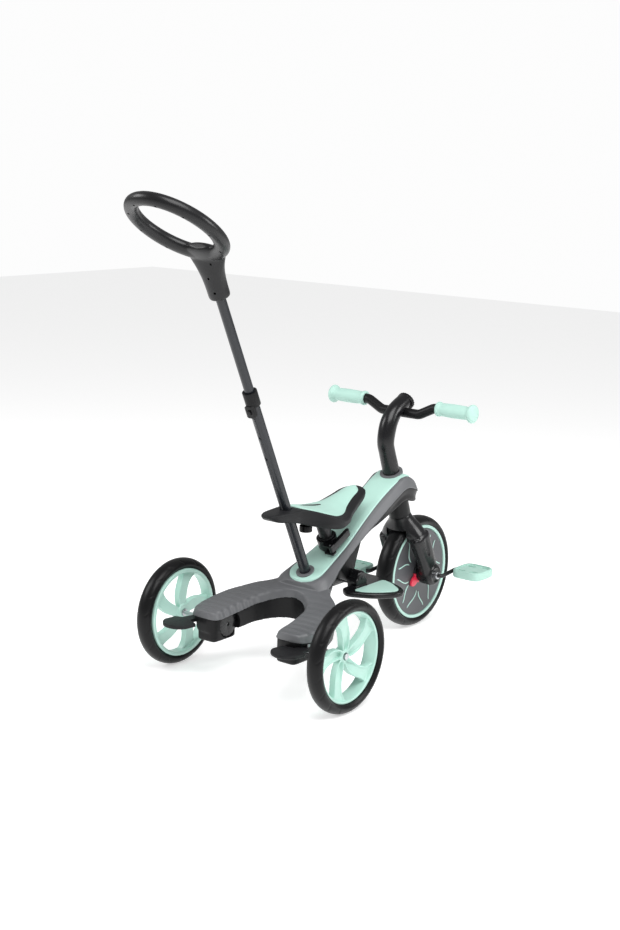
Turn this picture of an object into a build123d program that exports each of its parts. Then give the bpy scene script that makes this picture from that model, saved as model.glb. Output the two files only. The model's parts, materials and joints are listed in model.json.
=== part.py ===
from build123d import *
import os
from math import cos, radians, sin

# A children's tricycle with a parent's push pole.
# +Z is up, the tricycle faces -Y, and +X is the rider's left.
# The origin lies on the floor, under the middle of the whole object.
os.makedirs("parts", exist_ok=True)

# ---- driving sizes, in millimetres and degrees ----
wheelbase = 544
track = 428
rear_radius = 110
rear_tyre_width = 34
front_radius = 125
front_tyre_width = 42
head_angle = 22          # of the steering axis from upright
pole_lean = 26           # of the push pole from upright, towards the back
pole_base_ahead = 147    # of the rear axle, where the pole meets the deck
pole_base_height = 203
head_ahead = 441         # of the rear axle, where the stem meets the deck
head_height = 367
wall = 3                 # moulded plastic walls
running = 0.05           # radial clearance of a turning or sliding fit
gap = 0.4                # between faces of bodies that move past each other

# ---- push pole and handle, measured along the pole from the deck ----
lower_tube_radius = 11
upper_tube_radius = 9.5
lower_tube_depth = 36
collar_start = 405
collar_end = 435
collar_radius = 14.5
upper_tube_hidden_end = 150
neck_start = 638
neck_length = 88
neck_radius = 16
ring_tilt = 32           # of the handle's ring from the pole
ring_half_width = 80
ring_half_length = 93
ring_tube_radius = 13
button_distance = 397    # along the pole, on its rear face
button_radius = 5
button_seat = 16.5       # from the pole's axis to the face that the button stands in
index_pitch = 48         # between the holes that the pole can be pinned in

pole_direction = Vector(0, sin(radians(pole_lean)), cos(radians(pole_lean)))
pole_back = Vector(0, cos(radians(pole_lean)), -sin(radians(pole_lean)))
ring_direction = pole_direction * cos(radians(ring_tilt)) + pole_back * sin(radians(ring_tilt))

# The floor plan is centred between the front tyre and the far end of the handle.
front_reach = wheelbase + front_radius
handle_reach = (
    (neck_start + neck_length) * pole_direction.Y
    + 2 * ring_half_length * ring_direction.Y
    + ring_tube_radius
    - pole_base_ahead
)
rear_axle_y = (front_reach - handle_reach) / 2
front_axle_y = rear_axle_y - wheelbase


def at(ahead, height, across=0):
    """A point given by how far it lies ahead of the rear axle, its height and its side."""
    return Vector(across, rear_axle_y - ahead, height)


def save(piece, name):
    """Label a finished piece and write it as its own node."""
    piece.part.label = name
    export_step(piece.part, f"parts/{name}.step")


pole_base = at(pole_base_ahead, pole_base_height)
head_point = at(head_ahead, head_height)
steer_direction = Vector(0, sin(radians(head_angle)), cos(radians(head_angle)))
SIDES = (("left", 1), ("right", -1))


def pole_plane(distance, ahead=0):
    """A plane square to the push pole, a distance up it, x across and y towards the back."""
    origin = pole_base + pole_direction * distance - pole_back * ahead
    return Plane(origin=origin, x_dir=(1, 0, 0), z_dir=pole_direction)


def steer_plane(distance):
    """A plane square to the steering axis, x across and y towards the back."""
    origin = head_point + steer_direction * distance
    return Plane(origin=origin, x_dir=(1, 0, 0), z_dir=steer_direction)


def cross_plane(ahead):
    """An upright plane across the tricycle, x across and y up."""
    return Plane(origin=(0, rear_axle_y - ahead, 0), x_dir=(1, 0, 0), z_dir=(0, -1, 0))


def axle_section(centre, side):
    """The plane through a wheel's axis: x is the radius, y runs outboard."""
    return Plane(origin=centre, x_dir=(0, 0, 1), z_dir=(0, side, 0))


def wheel_face(centre, side, offset=0):
    """A plane square to a wheel's axis, a distance outboard of its centre."""
    origin = centre + Vector(side * offset, 0, 0)
    return Plane(origin=origin, x_dir=(0, 1, 0), z_dir=(side, 0, 0))


def polygon(*points):
    """A closed face through the given points of the current sketch."""
    with BuildLine() as outline:
        Polyline(*points, close=True)
    make_face(outline.edges())


def tube(plane, outer, inner, length):
    """A tube standing on a plane."""
    with BuildSketch(plane) as ring:
        Circle(outer)
        Circle(inner, mode=Mode.SUBTRACT)
    extrude(ring.sketch, amount=length)


def rod(plane, radius, length, mode=Mode.ADD):
    """A round bar standing on a plane, or with Mode.SUBTRACT a round hole."""
    with BuildSketch(plane) as disc:
        Circle(radius)
    extrude(disc.sketch, amount=length, mode=mode)


# ---- frame: a Y-shaped body of two moulded shells with a coloured deck ----
# Each spine station: ahead of the rear axle, deck height, deck half width,
# half width at the seam, how far the seam lies below the deck, and the lower
# shell's depth under the seam.
spine_stations = [
    (124, 186, 30, 52, 12, 28),
    (147, 200, 43, 64, 17, 28),
    (200, 223, 38, 51, 15, 28),
    (250, 247, 34, 44, 15, 28),
    (300, 281, 33, 44, 19, 28),
    (350, 314, 33, 46, 23, 28),
    (400, 342, 35, 46, 27, 28),
    (441, 360, 38, 46, 38, 20),
    (480, 348, 32, 42, 44, 8),
    (512, 322, 16, 26, 24, 5),
]
# Each arm station: ahead of the rear axle, inner and outer edge, top height,
# depth of the grey edge and height of the underside.
arm_stations = [
    (172, -2, 52, 190, 16, 160),
    (147, -2, 65, 184, 17, 134),
    (128, -2, 84, 177, 17, 118),
    (109, 4, 108, 171, 17, 110),
    (90, 44, 126, 164, 17, 106),
    (60, 60, 144, 157, 17, 102),
    (33, 65, 150, 152, 17, 98),
    (0, 69, 151, 147, 17, 98),
    (-30, 71, 146, 144, 17, 98),
    (-46, 73, 134, 142, 15, 100),
]
edge_slope = 6           # the arms' top is this much narrower on each side
spine_taper = 10         # the lower shell narrows this much towards its floor
shell_step = 3           # the lower shell stands back from the top shell's edge
deck_thickness = 3
deck_margin = 2          # the grey edge that shows beside the coloured deck


def spine_face(station, inset, top_drop, extra):
    """The spine's section at one station, shrunk by inset, open below by extra."""
    ahead, deck, deck_half, side_half, drop, _ = station
    seam = deck - drop - extra
    with BuildSketch(cross_plane(ahead)) as section:
        polygon(
            (-deck_half + inset, deck - top_drop),
            (deck_half - inset, deck - top_drop),
            (side_half - inset, seam),
            (-side_half + inset, seam),
        )
    return section.sketch


def arm_face(station, side, inset, top_drop, extra):
    """One arm's section at one station, shrunk by inset, open below by extra."""
    ahead, inner, outer, top, drop, _ = station
    with BuildSketch(cross_plane(ahead)) as section:
        polygon(
            (side * (inner + edge_slope * (inner > 0) + inset), top - top_drop),
            (side * (outer - edge_slope - inset), top - top_drop),
            (side * (outer - inset), top - drop - extra),
            (side * (inner + inset), top - drop - extra),
        )
    return section.sketch


def nudged(stations, start, end):
    """The stations with the first and last moved along, for a wall at each end."""
    first, *middle, last = stations
    return [(first[0] + start, *first[1:]), *middle, (last[0] + end, *last[1:])]


seat_post_ahead = 87     # of the pole, square to it
seat_post_radius = 14
seat_socket_depth = 38
seat_socket_top = 30     # along the post, above the deck
socket_radius = 16
socket_flange_radius = 19
head_tube_radius = 24
head_tube_bottom = -108  # along the steering axis from the deck
head_tube_top = -14
head_ring_seat = -8
head_ring_top = -1
head_ring_radius = 25
steerer_radius = 14
bearing_radius = 20
bearing_length = 12
footrest_hinge_ahead = 286
footrest_hinge_height = 170
footrest_pin_radius = 4
bracket_half_width = 17
axle_radius = 4
knob_radius = 25
knob_inner = 78
knob_outer = 88
block_inner = 76
block_outer = 124
block_floor = 80
block_ahead = 26
block_behind = 44
screw_radius = 2
boss_radius = 5
paddle_pin_across = 142
paddle_pin_behind = 24
paddle_slot_behind = 9.5
paddle_height = 112
paddle_thickness = 7
paddle_length = 80
paddle_swing = 9         # each way from straight back
paddle_pin_radius = 3
# Each screw: its side and how far ahead of the rear axle it stands.
arm_screws = [(106, 45), (88, 88), (56, 120)]


def post_plane(distance):
    """A plane square to the seat post, measured up it from the deck."""
    return pole_plane(distance, seat_post_ahead)


def seam_height(ahead):
    """The arms' seam height, between the two stations that it falls in."""
    for near, far in zip(arm_stations, arm_stations[1:]):
        if near[0] >= ahead >= far[0]:
            share = (near[0] - ahead) / (near[0] - far[0])
            return (near[3] - near[4]) * (1 - share) + (far[3] - far[4]) * share
    raise ValueError("no arm station there")


def cut_head_tube():
    """Make room for the head tube through the piece being built."""
    rod(steer_plane(head_tube_bottom), head_tube_radius, head_tube_top - head_tube_bottom, Mode.SUBTRACT)


def cut_sockets():
    """Make room for the pole socket and the seat socket."""
    rod(pole_plane(-lower_tube_depth - wall), socket_radius, lower_tube_depth + 30, Mode.SUBTRACT)
    rod(post_plane(-seat_socket_depth - 20), seat_post_radius + wall, seat_socket_depth + 60, Mode.SUBTRACT)


with BuildPart() as frame_top_shell:
    loft([spine_face(station, 0, 0, 0) for station in spine_stations], ruled=True)
    for _, side in SIDES:
        loft([arm_face(station, side, 0, 0, 0) for station in arm_stations], ruled=True)
    hollow = nudged(spine_stations, wall, -wall)
    loft([spine_face(station, wall, wall, 1) for station in hollow], ruled=True, mode=Mode.SUBTRACT)
    for _, side in SIDES:
        hollow = nudged(arm_stations, 0, wall)
        loft([arm_face(station, side, wall, wall, 1) for station in hollow], ruled=True, mode=Mode.SUBTRACT)
    for _, side in SIDES:
        for across, ahead in arm_screws:
            with BuildSketch(Plane(origin=at(ahead, seam_height(ahead), side * across))):
                Circle(boss_radius)
                Circle(screw_radius, mode=Mode.SUBTRACT)
            extrude(amount=wall + 12)
    cut_head_tube()
    rod(steer_plane(head_tube_top), bearing_radius, 60, Mode.SUBTRACT)
    rod(steer_plane(head_ring_seat), head_ring_radius, 60, Mode.SUBTRACT)
    cut_sockets()
save(frame_top_shell, "frame_top_shell")

with BuildPart() as frame_lower_shell:
    for ahead, deck, _, side_half, drop, depth in spine_stations:
        with BuildSketch(cross_plane(ahead)):
            top_half = side_half - shell_step
            seam = deck - drop
            floor_half = top_half - spine_taper
            floor = seam - depth
            polygon((-top_half, seam), (top_half, seam), (floor_half, floor), (-floor_half, floor))
    loft(ruled=True)
    for _, side in SIDES:
        for ahead, inner, outer, top, drop, floor in arm_stations:
            with BuildSketch(cross_plane(ahead)):
                low, high = inner + shell_step * (inner > 0), outer - shell_step
                seam = top - drop
                polygon(
                    (side * low, seam),
                    (side * high, seam),
                    (side * (high - spine_taper), floor),
                    (side * low, floor),
                )
        loft(ruled=True)
    for ahead, deck, _, side_half, drop, depth in nudged(spine_stations, wall, -wall):
        with BuildSketch(cross_plane(ahead)):
            top_half = side_half - shell_step - wall
            seam = deck - drop + 1
            floor_half = top_half - spine_taper
            floor = deck - drop - depth + wall
            polygon((-top_half, seam), (top_half, seam), (floor_half, floor), (-floor_half, floor))
    loft(ruled=True, mode=Mode.SUBTRACT)
    for _, side in SIDES:
        for ahead, inner, outer, top, drop, floor in arm_stations[:7]:
            with BuildSketch(cross_plane(ahead)):
                low, high = inner + (shell_step + wall) * (inner > 0), outer - shell_step - wall
                seam = top - drop + 1
                polygon(
                    (side * low, seam),
                    (side * high, seam),
                    (side * (high - spine_taper), floor + wall),
                    (side * low, floor + wall),
                )
        loft(ruled=True, mode=Mode.SUBTRACT)
    for _, side in SIDES:
        middle = (block_inner + block_outer) / 2
        with BuildSketch(Plane(origin=at((block_ahead - block_behind) / 2, block_floor, side * middle))):
            RectangleRounded(block_outer - block_inner, block_ahead + block_behind, 8)
        extrude(amount=seam_height(block_ahead) - block_floor - 10)
        with BuildSketch(Plane(origin=at(0, rear_radius, side * 50), x_dir=(0, 1, 0), z_dir=(side, 0, 0))):
            Circle(knob_radius + 3)
        extrude(amount=knob_outer + gap - 50, mode=Mode.SUBTRACT)
        with BuildSketch(Plane(origin=at(0, rear_radius, side * 50), x_dir=(0, 1, 0), z_dir=(side, 0, 0))):
            Circle(axle_radius)
        extrude(amount=120, mode=Mode.SUBTRACT)
        for across, ahead in arm_screws:
            floor = seam_height(ahead) - 40
            with BuildSketch(Plane(origin=at(ahead, floor, side * across))):
                Circle(boss_radius)
                Circle(screw_radius, mode=Mode.SUBTRACT)
            extrude(amount=40)
            with BuildSketch(Plane(origin=at(ahead, block_floor, side * across))):
                Circle(screw_radius)
            extrude(amount=60, mode=Mode.SUBTRACT)
            with BuildSketch(Plane(origin=at(ahead, block_floor, side * across))):
                Circle(boss_radius - 1)
            extrude(amount=floor + 3 - block_floor, mode=Mode.SUBTRACT)
    # The bracket that carries the footrest's hinge pin.
    with BuildSketch(Plane.YZ.offset(-bracket_half_width)):
        hinge_y = rear_axle_y - footrest_hinge_ahead
        polygon(
            (hinge_y + 30, footrest_hinge_height + 56),
            (hinge_y - 22, footrest_hinge_height + 72),
            (hinge_y - 12, footrest_hinge_height - 4),
            (hinge_y, footrest_hinge_height - 12),
            (hinge_y + 12, footrest_hinge_height - 4),
        )
    extrude(amount=2 * bracket_half_width)
    with BuildSketch(Plane.YZ.offset(-bracket_half_width)):
        with Locations((hinge_y, footrest_hinge_height)):
            Circle(footrest_pin_radius)
    extrude(amount=2 * bracket_half_width, mode=Mode.SUBTRACT)
    for _, side in SIDES:
        # The slot behind the axle in which the brake paddle swings.
        slot_top = paddle_height + paddle_thickness + gap
        with BuildSketch(Plane(origin=at(-paddle_slot_behind - 25, 90, side * 144))):
            Rectangle(40, 50)
        extrude(amount=slot_top - 90, mode=Mode.SUBTRACT)
        pin_foot = Plane(origin=at(-paddle_pin_behind, 90, side * paddle_pin_across))
        rod(pin_foot, paddle_pin_radius, 60, Mode.SUBTRACT)
    cut_head_tube()
    cut_sockets()
    rod(steer_plane(head_tube_bottom - 60), 75, 72, Mode.SUBTRACT)
    add(frame_top_shell.part, mode=Mode.SUBTRACT)
    # Only thin scraps between the two shells are left out here.
    add(frame_lower_shell.part.solids().sort_by(SortBy.VOLUME)[-1], mode=Mode.REPLACE)
save(frame_lower_shell, "frame_lower_shell")

with BuildPart() as frame_screws:
    for _, side in SIDES:
        for across, ahead in arm_screws:
            floor = seam_height(ahead) - 40 + 3
            with BuildSketch(Plane(origin=at(ahead, floor, side * across))):
                Circle(screw_radius)
            extrude(amount=44)
            with BuildSketch(Plane(origin=at(ahead, floor - 2, side * across))):
                Circle(boss_radius - 1)
            extrude(amount=2)
save(frame_screws, "frame_screws")

with BuildPart() as deck_panel:
    for ahead, deck, deck_half, _, _, _ in spine_stations[:-1]:
        with BuildSketch(cross_plane(ahead)):
            half = deck_half - deck_margin
            top = deck + deck_thickness
            polygon((-half, deck), (half, deck), (half - 1, top), (-half + 1, top))
    loft(ruled=True)
    with BuildSketch(steer_plane(-30)):
        Circle(head_ring_radius)
    extrude(amount=80, mode=Mode.SUBTRACT)
    with BuildSketch(pole_plane(-40)):
        Circle(socket_flange_radius)
    extrude(amount=80, mode=Mode.SUBTRACT)
    with BuildSketch(post_plane(-60)):
        Circle(seat_post_radius + wall + 3)
    extrude(amount=120, mode=Mode.SUBTRACT)
save(deck_panel, "deck_panel")

with BuildPart() as pole_socket:
    tube(pole_plane(-lower_tube_depth), socket_radius, lower_tube_radius, lower_tube_depth + 4)
    tube(pole_plane(-2), socket_flange_radius, lower_tube_radius, 6)
    with BuildSketch(pole_plane(-lower_tube_depth - wall)):
        Circle(socket_radius)
    extrude(amount=wall)
save(pole_socket, "pole_socket")

with BuildPart() as seat_socket:
    length = seat_socket_depth + seat_socket_top
    tube(post_plane(-seat_socket_depth), seat_post_radius + wall, seat_post_radius + running, length)
save(seat_socket, "seat_socket")

# ---- steering head: tube, bearings and trim ring ----
with BuildPart() as head_tube:
    with BuildSketch(steer_plane(head_tube_bottom)):
        Circle(head_tube_radius)
        Circle(steerer_radius + 3, mode=Mode.SUBTRACT)
    extrude(amount=head_tube_top - head_tube_bottom)
    for start in (head_tube_bottom, head_tube_top - bearing_length):
        with BuildSketch(steer_plane(start)):
            Circle(bearing_radius)
        extrude(amount=bearing_length, mode=Mode.SUBTRACT)
save(head_tube, "head_tube")

with BuildPart() as head_bearings:
    for start in (head_tube_bottom, head_tube_top - bearing_length):
        tube(steer_plane(start), bearing_radius, steerer_radius + running, bearing_length)
save(head_bearings, "head_bearings")

stem_base_radius = 18
with BuildPart() as head_ring:
    tube(steer_plane(head_tube_top), bearing_radius, steerer_radius + 1, head_ring_top - head_tube_top)
    tube(steer_plane(head_ring_seat), head_ring_radius, steerer_radius + 1, head_ring_top - head_ring_seat)
save(head_ring, "head_ring")

# ---- rear wheels ----
rim_radius = 90
rim_wall = 6
rim_inboard = 19
rim_outboard = 10
hub_radius = 17
hub_recess = 3           # the hub's outer face lies this much inboard of the wheel's middle
bush_radius = 6.5
spoke_count = 5
tyre_crown = 14
tyre_foot = 4            # the tyre's foot is this much narrower on each side
half_track = track / 2
hub_outer = -hub_recess


def tyre_profile(outer, crown, width, inner, foot):
    """A tyre's section with a round crown and flat foot."""
    with BuildLine() as outline:
        shoulder = outer - crown
        half = width / 2
        Polyline((shoulder, -half), (inner, foot - half), (inner, half - foot), (shoulder, half))
        ThreePointArc((shoulder, half), (outer, 0), (shoulder, -half))
    make_face(outline.edges())


def polar(radius, angle):
    """A point of the current sketch from its radius and its angle in degrees."""
    return (radius * cos(radians(angle)), radius * sin(radians(angle)))


for name, side in SIDES:
    centre = at(0, rear_radius, side * half_track)
    wheel_axis = Axis(centre, (1, 0, 0))

    with BuildPart() as rear_tyre:
        with BuildSketch(axle_section(centre, side)):
            tyre_profile(rear_radius, tyre_crown, rear_tyre_width, rim_radius, tyre_foot)
        revolve(axis=wheel_axis)
    save(rear_tyre, f"rear_tyre_{name}")

    with BuildPart() as rear_rim:
        with BuildSketch(axle_section(centre, side)):
            polygon(
                (rim_radius - rim_wall, -rim_inboard),
                (rim_radius, -rim_inboard),
                (rim_radius, rim_outboard),
                (rim_radius - rim_wall + 1, rim_outboard),
            )
            polygon(
                (bush_radius, -rim_inboard),
                (hub_radius, -rim_inboard),
                (hub_radius - 1, hub_outer),
                (bush_radius, hub_outer),
            )
        revolve(axis=wheel_axis)
        # The spokes run from inside the hub to inside the rim.
        root = hub_radius - 3
        end = rim_radius - 4
        with BuildSketch(wheel_face(centre, side, -rim_inboard + 4)):
            with PolarLocations(0, spoke_count):
                with BuildLine():
                    Spline(polar(root, -38), polar(48, -6), polar(end, 2))
                    ThreePointArc(polar(end, 2), polar(end, 12), polar(end, 22))
                    Spline(polar(end, 22), polar(48, 22), polar(root, 26))
                    ThreePointArc(polar(root, 26), polar(root, -6), polar(root, -38))
                make_face()
        extrude(amount=12)
    save(rear_rim, f"rear_rim_{name}")

    with BuildPart() as rear_bush:
        inboard = wheel_face(centre, side, -rim_inboard)
        tube(inboard, bush_radius, axle_radius + running, rim_inboard + hub_outer)
    save(rear_bush, f"rear_bush_{name}")

# The rear axles are bolts, held by a ribbed hand nut on the inner side of each arm.
bolt_head_radius = 6
with BuildPart() as axle_bolts:
    for _, side in SIDES:
        centre = at(0, rear_radius, side * half_track)
        end = half_track + hub_outer + gap
        with BuildSketch(wheel_face(centre, side, knob_inner - half_track + 3)):
            Circle(axle_radius)
        extrude(amount=end - knob_inner - 3)
        with BuildSketch(wheel_face(centre, side, hub_outer + gap)):
            Circle(bolt_head_radius)
        extrude(amount=4)
save(axle_bolts, "axle_bolts")

with BuildPart() as axle_knobs:
    for _, side in SIDES:
        centre = at(0, rear_radius, side * half_track)
        inner_face = wheel_face(centre, side, knob_inner - half_track)
        tube(inner_face, knob_radius, axle_radius, knob_outer - knob_inner)
        with BuildSketch(inner_face):
            with PolarLocations(knob_radius + 1, 16):
                Circle(2.4)
        extrude(amount=knob_outer - knob_inner, mode=Mode.SUBTRACT)
save(axle_knobs, "axle_knobs")

with BuildPart() as axle_washers:
    for _, side in SIDES:
        centre = at(0, rear_radius, side * half_track)
        tube(wheel_face(centre, side, -rim_inboard - gap - 2), 7.5, axle_radius, 2)
save(axle_washers, "axle_washers")

# ---- parking brake paddles: tongues that swing sideways on an upright pin ----
# The tongue's outline, as (outboard of the pin, behind the pin).
paddle_root = 11
paddle_outline = [(paddle_root, 0), (13, 25), (26, 32), (26, 58)]
paddle_inner_outline = [(-38, 58), (-38, 32), (-13, 25), (-paddle_root, 0)]

for (name, side), swing in zip(SIDES, (paddle_swing, -paddle_swing)):
    pin_top = Plane(origin=at(-paddle_pin_behind, paddle_height, side * paddle_pin_across), x_dir=(1, 0, 0))
    with BuildPart() as brake_paddle:
        with BuildSketch(pin_top.rotated((0, 0, -side * swing))):
            with BuildLine():
                Polyline(*[(side * x, y) for x, y in paddle_outline])
                ThreePointArc((side * 26, 58), (-side * 6, paddle_length), (-side * 38, 58))
                Polyline(*[(side * x, y) for x, y in paddle_inner_outline])
                ThreePointArc((-side * paddle_root, 0), (0, -paddle_root), (side * paddle_root, 0))
            make_face()
            Circle(paddle_pin_radius + running, mode=Mode.SUBTRACT)
        extrude(amount=paddle_thickness)
    save(brake_paddle, f"brake_paddle_{name}")

with BuildPart() as brake_pins:
    for _, side in SIDES:
        foot = at(-paddle_pin_behind, paddle_height - gap, side * paddle_pin_across)
        rod(Plane(origin=foot), paddle_pin_radius, paddle_thickness + 6)
        rod(Plane(origin=foot - Vector(0, 0, 3)), paddle_pin_radius + 4, 3)
save(brake_pins, "brake_pins")

# ---- footrest: one tray with two wings, hinged under the spine ----
tray_top = 152
tray_thickness = 12
footrest_pad_thickness = 3
ear_inner = bracket_half_width + gap
ear_outer = 44


# Outlines of one wing and its pad, as (across, ahead of the rear axle).
wing_outline = [
    (ear_inner + 2, 268),
    (47, 231),
    (97, 257),
    (132, 309),
    (100, 345),
    (ear_inner + 2, 375),
]
wing_corner = 14
pad_outline = [(50, 243), (92, 266), (121, 309), (95, 336), (50, 354)]
pad_corner = 10
tray_bridge = (62, 312, 374)  # the width and the two ends of the bar between the wings


with BuildPart() as footrest_tray:
    with BuildSketch(Plane.XY.offset(tray_top - tray_thickness)):
        for side in (1, -1):
            with BuildLine():
                points = [(side * x, rear_axle_y - ahead) for x, ahead in wing_outline]
                FilletPolyline(*points, radius=wing_corner, close=True)
            make_face()
        width, near, far = tray_bridge
        with Locations((0, rear_axle_y - (near + far) / 2)):
            Rectangle(width, far - near)
    extrude(amount=tray_thickness)
    for side in (1, -1):
        with BuildSketch(Plane.XY.offset(tray_top - 1)):
            with BuildLine():
                points = [(side * x, rear_axle_y - ahead) for x, ahead in pad_outline]
                FilletPolyline(*points, radius=pad_corner, close=True)
            make_face()
        extrude(amount=3, mode=Mode.SUBTRACT)
        with BuildSketch(Plane.YZ.offset(side * ear_inner)):
            hinge_y = rear_axle_y - footrest_hinge_ahead
            front = (hinge_y - 13, footrest_hinge_height)
            back = (hinge_y + 13, footrest_hinge_height)
            with BuildLine():
                Polyline(front, (hinge_y - 18, tray_top - 4), (hinge_y + 18, tray_top - 4), back)
                ThreePointArc(back, (hinge_y, footrest_hinge_height + 13), front)
            make_face()
            with Locations((hinge_y, footrest_hinge_height)):
                Circle(footrest_pin_radius + running, mode=Mode.SUBTRACT)
        extrude(amount=side * (ear_outer - ear_inner))
save(footrest_tray, "footrest_tray")

with BuildPart() as footrest_pads:
    for side in (1, -1):
        with BuildSketch(Plane.XY.offset(tray_top - 1)):
            with BuildLine():
                points = [(side * x, rear_axle_y - ahead) for x, ahead in pad_outline]
                FilletPolyline(*points, radius=pad_corner, close=True)
            make_face()
        extrude(amount=footrest_pad_thickness)
save(footrest_pads, "footrest_pads")

with BuildPart() as footrest_pin:
    with BuildSketch(Plane.YZ.offset(-ear_outer - 1)):
        with Locations((hinge_y, footrest_hinge_height)):
            Circle(footrest_pin_radius)
    extrude(amount=2 * ear_outer + 2)
save(footrest_pin, "footrest_pin")

# ---- seat: post, base with a loop that the pole passes through, and a pad ----
# Each seat station: ahead of the rear axle, centre height, edge height,
# underside height and half width of the base.
seat_stations = [
    (18, 344, 343, 336, 10),
    (34, 345, 344, 328, 22),
    (72, 346, 344, 322, 28),
    (96, 347, 344, 316, 31),
    (122, 343, 338, 308, 44),
    (150, 338, 327, 301, 66),
    (176, 334, 319, 297, 74),
    (204, 333, 318, 297, 67),
    (236, 336, 323, 302, 50),
    (270, 345, 335, 314, 39),
    (300, 354, 346, 328, 32),
    (322, 354, 348, 338, 18),
]
pad_thickness = 5
pad_margin = 9


def seat_face(station, inset, lift, low):
    """A seat section shrunk by inset, its top raised by lift, reaching down to low."""
    ahead, centre, edge, _, half = station
    half -= inset
    shoulder = edge + (centre - edge) * 0.75
    with BuildSketch(cross_plane(ahead)) as section:
        polygon(
            (-half * 0.8, low),
            (-half, edge - 4 + lift),
            (-half * 0.96, edge + lift),
            (-half * 0.55, shoulder + lift),
            (0, centre + lift),
            (half * 0.55, shoulder + lift),
            (half * 0.96, edge + lift),
            (half, edge - 4 + lift),
            (half * 0.8, low),
        )
    return section.sketch


seat_post_bottom = -25   # along the post from the deck
seat_post_top = 90
seat_boss_start = 60
seat_knob_ahead = 144
seat_knob_radius = 13
seat_knob_height = 14
with BuildPart() as seat_base:
    loft([seat_face(station, 0, 0, station[3]) for station in seat_stations], ruled=True)
    hollow = seat_stations[4:-1]
    cavity = [seat_face(station, wall, -wall, station[3] - 6) for station in hollow]
    loft(cavity, ruled=True, mode=Mode.SUBTRACT)
    rod(post_plane(seat_boss_start), seat_post_radius + wall, seat_post_top + wall - seat_boss_start)
    bore_depth = seat_post_top + 10 - seat_boss_start
    rod(post_plane(seat_boss_start - 10), seat_post_radius, bore_depth, Mode.SUBTRACT)
    rod(Plane(origin=at(seat_knob_ahead, 302)), 8, 34)
    rod(Plane(origin=at(seat_knob_ahead, 290)), 4 + running, 36, Mode.SUBTRACT)
    rod(pole_plane(100), lower_tube_radius + 1, 100, Mode.SUBTRACT)
save(seat_base, "seat_base")

with BuildPart() as seat_pad:
    padded = seat_stations[4:-1]
    loft([seat_face(station, pad_margin, pad_thickness, station[2] - 6) for station in padded], ruled=True)
    add(seat_base.part, mode=Mode.SUBTRACT)
    below = [seat_face(station, 0, -1, station[3]) for station in padded]
    loft(below, ruled=True, mode=Mode.SUBTRACT)
save(seat_pad, "seat_pad")

with BuildPart() as seat_knob:
    rod(Plane(origin=at(seat_knob_ahead, 302 - gap - seat_knob_height)), seat_knob_radius, seat_knob_height)
    rod(Plane(origin=at(seat_knob_ahead, 302 - gap)), 4, 22)
save(seat_knob, "seat_knob")

with BuildPart() as seat_post:
    length = seat_post_top - seat_post_bottom
    tube(post_plane(seat_post_bottom), seat_post_radius, seat_post_radius - wall, length)
save(seat_post, "seat_post")

# The clamp grips the seat socket; its lever swings out about a pin beside the post.
clamp_start = 5
clamp_height = 22
clamp_radius = 21
clamp_ear = 3
clamp_pin_radius = 2.5
lever_back = 24          # the pin's place behind the post's middle
lever_out = 27           # and towards the rider's right
lever_front = 36
with BuildPart() as seat_clamp:
    tube(post_plane(clamp_start), clamp_radius, seat_post_radius + wall, clamp_height)
    for start in (clamp_start, clamp_start + clamp_height - clamp_ear):
        with BuildSketch(post_plane(start)):
            with BuildLine():
                FilletPolyline(
                    (-10, 14), (-10, lever_back + 6), (-lever_out - 6, lever_back + 6),
                    (-lever_out - 6, lever_back - 6), (-19, 8), radius=2, close=True,
                )
            make_face()
            Circle(clamp_radius - 1, mode=Mode.SUBTRACT)
            with Locations((-lever_out, lever_back)):
                Circle(clamp_pin_radius, mode=Mode.SUBTRACT)
        extrude(amount=clamp_ear)
save(seat_clamp, "seat_clamp")

with BuildPart() as clamp_pin:
    pin_foot = post_plane(clamp_start).from_local_coords(Vector(-lever_out, lever_back, 0))
    rod(Plane(origin=pin_foot, x_dir=(1, 0, 0), z_dir=pole_direction), clamp_pin_radius, clamp_height)
save(clamp_pin, "clamp_pin")

with BuildPart() as seat_clamp_lever:
    with BuildSketch(post_plane(clamp_start + clamp_ear + gap)):
        with Locations((-lever_out, (lever_back - lever_front) / 2)):
            RectangleRounded(9, lever_back + lever_front + 9, 4.4)
        with Locations((-lever_out, lever_back)):
            Circle(clamp_pin_radius + running, mode=Mode.SUBTRACT)
    extrude(amount=clamp_height - 2 * (clamp_ear + gap))
save(seat_clamp_lever, "seat_clamp_lever")

# ---- steering: fork, steerer, stem, bar and grips ----
fork_inner = 26
with BuildPart() as fork:
    with BuildSketch(steer_plane(head_tube_bottom - gap)):
        RectangleRounded(47, 47, 21)
    with BuildSketch(steer_plane(head_tube_bottom - 16)):
        RectangleRounded(86, 58, 22)
    with BuildSketch(steer_plane(head_tube_bottom - 34)):
        RectangleRounded(108, 60, 24)
    loft()
    for side in (1, -1):
        with BuildSketch(steer_plane(head_tube_bottom - 30)):
            with Locations((side * 40, 0)):
                RectangleRounded(27, 56, 10)
        with BuildSketch(steer_plane(head_tube_bottom - 90)):
            with Locations((side * 38.5, 0)):
                RectangleRounded(23, 46, 9)
        with BuildSketch(steer_plane(head_tube_bottom - 146)):
            with Locations((side * 37, 0)):
                RectangleRounded(21, 36, 8)
        loft()
    front_centre = Vector(0, front_axle_y, front_radius)
    for side in (1, -1):
        with BuildSketch(wheel_face(front_centre, side, fork_inner)):
            Circle(24)
        extrude(amount=40)
    with BuildSketch(wheel_face(front_centre, 1, -fork_inner)):
        Circle(front_radius + 8)
    extrude(amount=2 * fork_inner, mode=Mode.SUBTRACT)
    with BuildSketch(steer_plane(head_tube_bottom - gap)):
        Circle(steerer_radius)
    extrude(amount=-16, mode=Mode.SUBTRACT)
    with BuildSketch(wheel_face(front_centre, 1, -80)):
        Circle(8)
    extrude(amount=160, mode=Mode.SUBTRACT)
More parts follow.
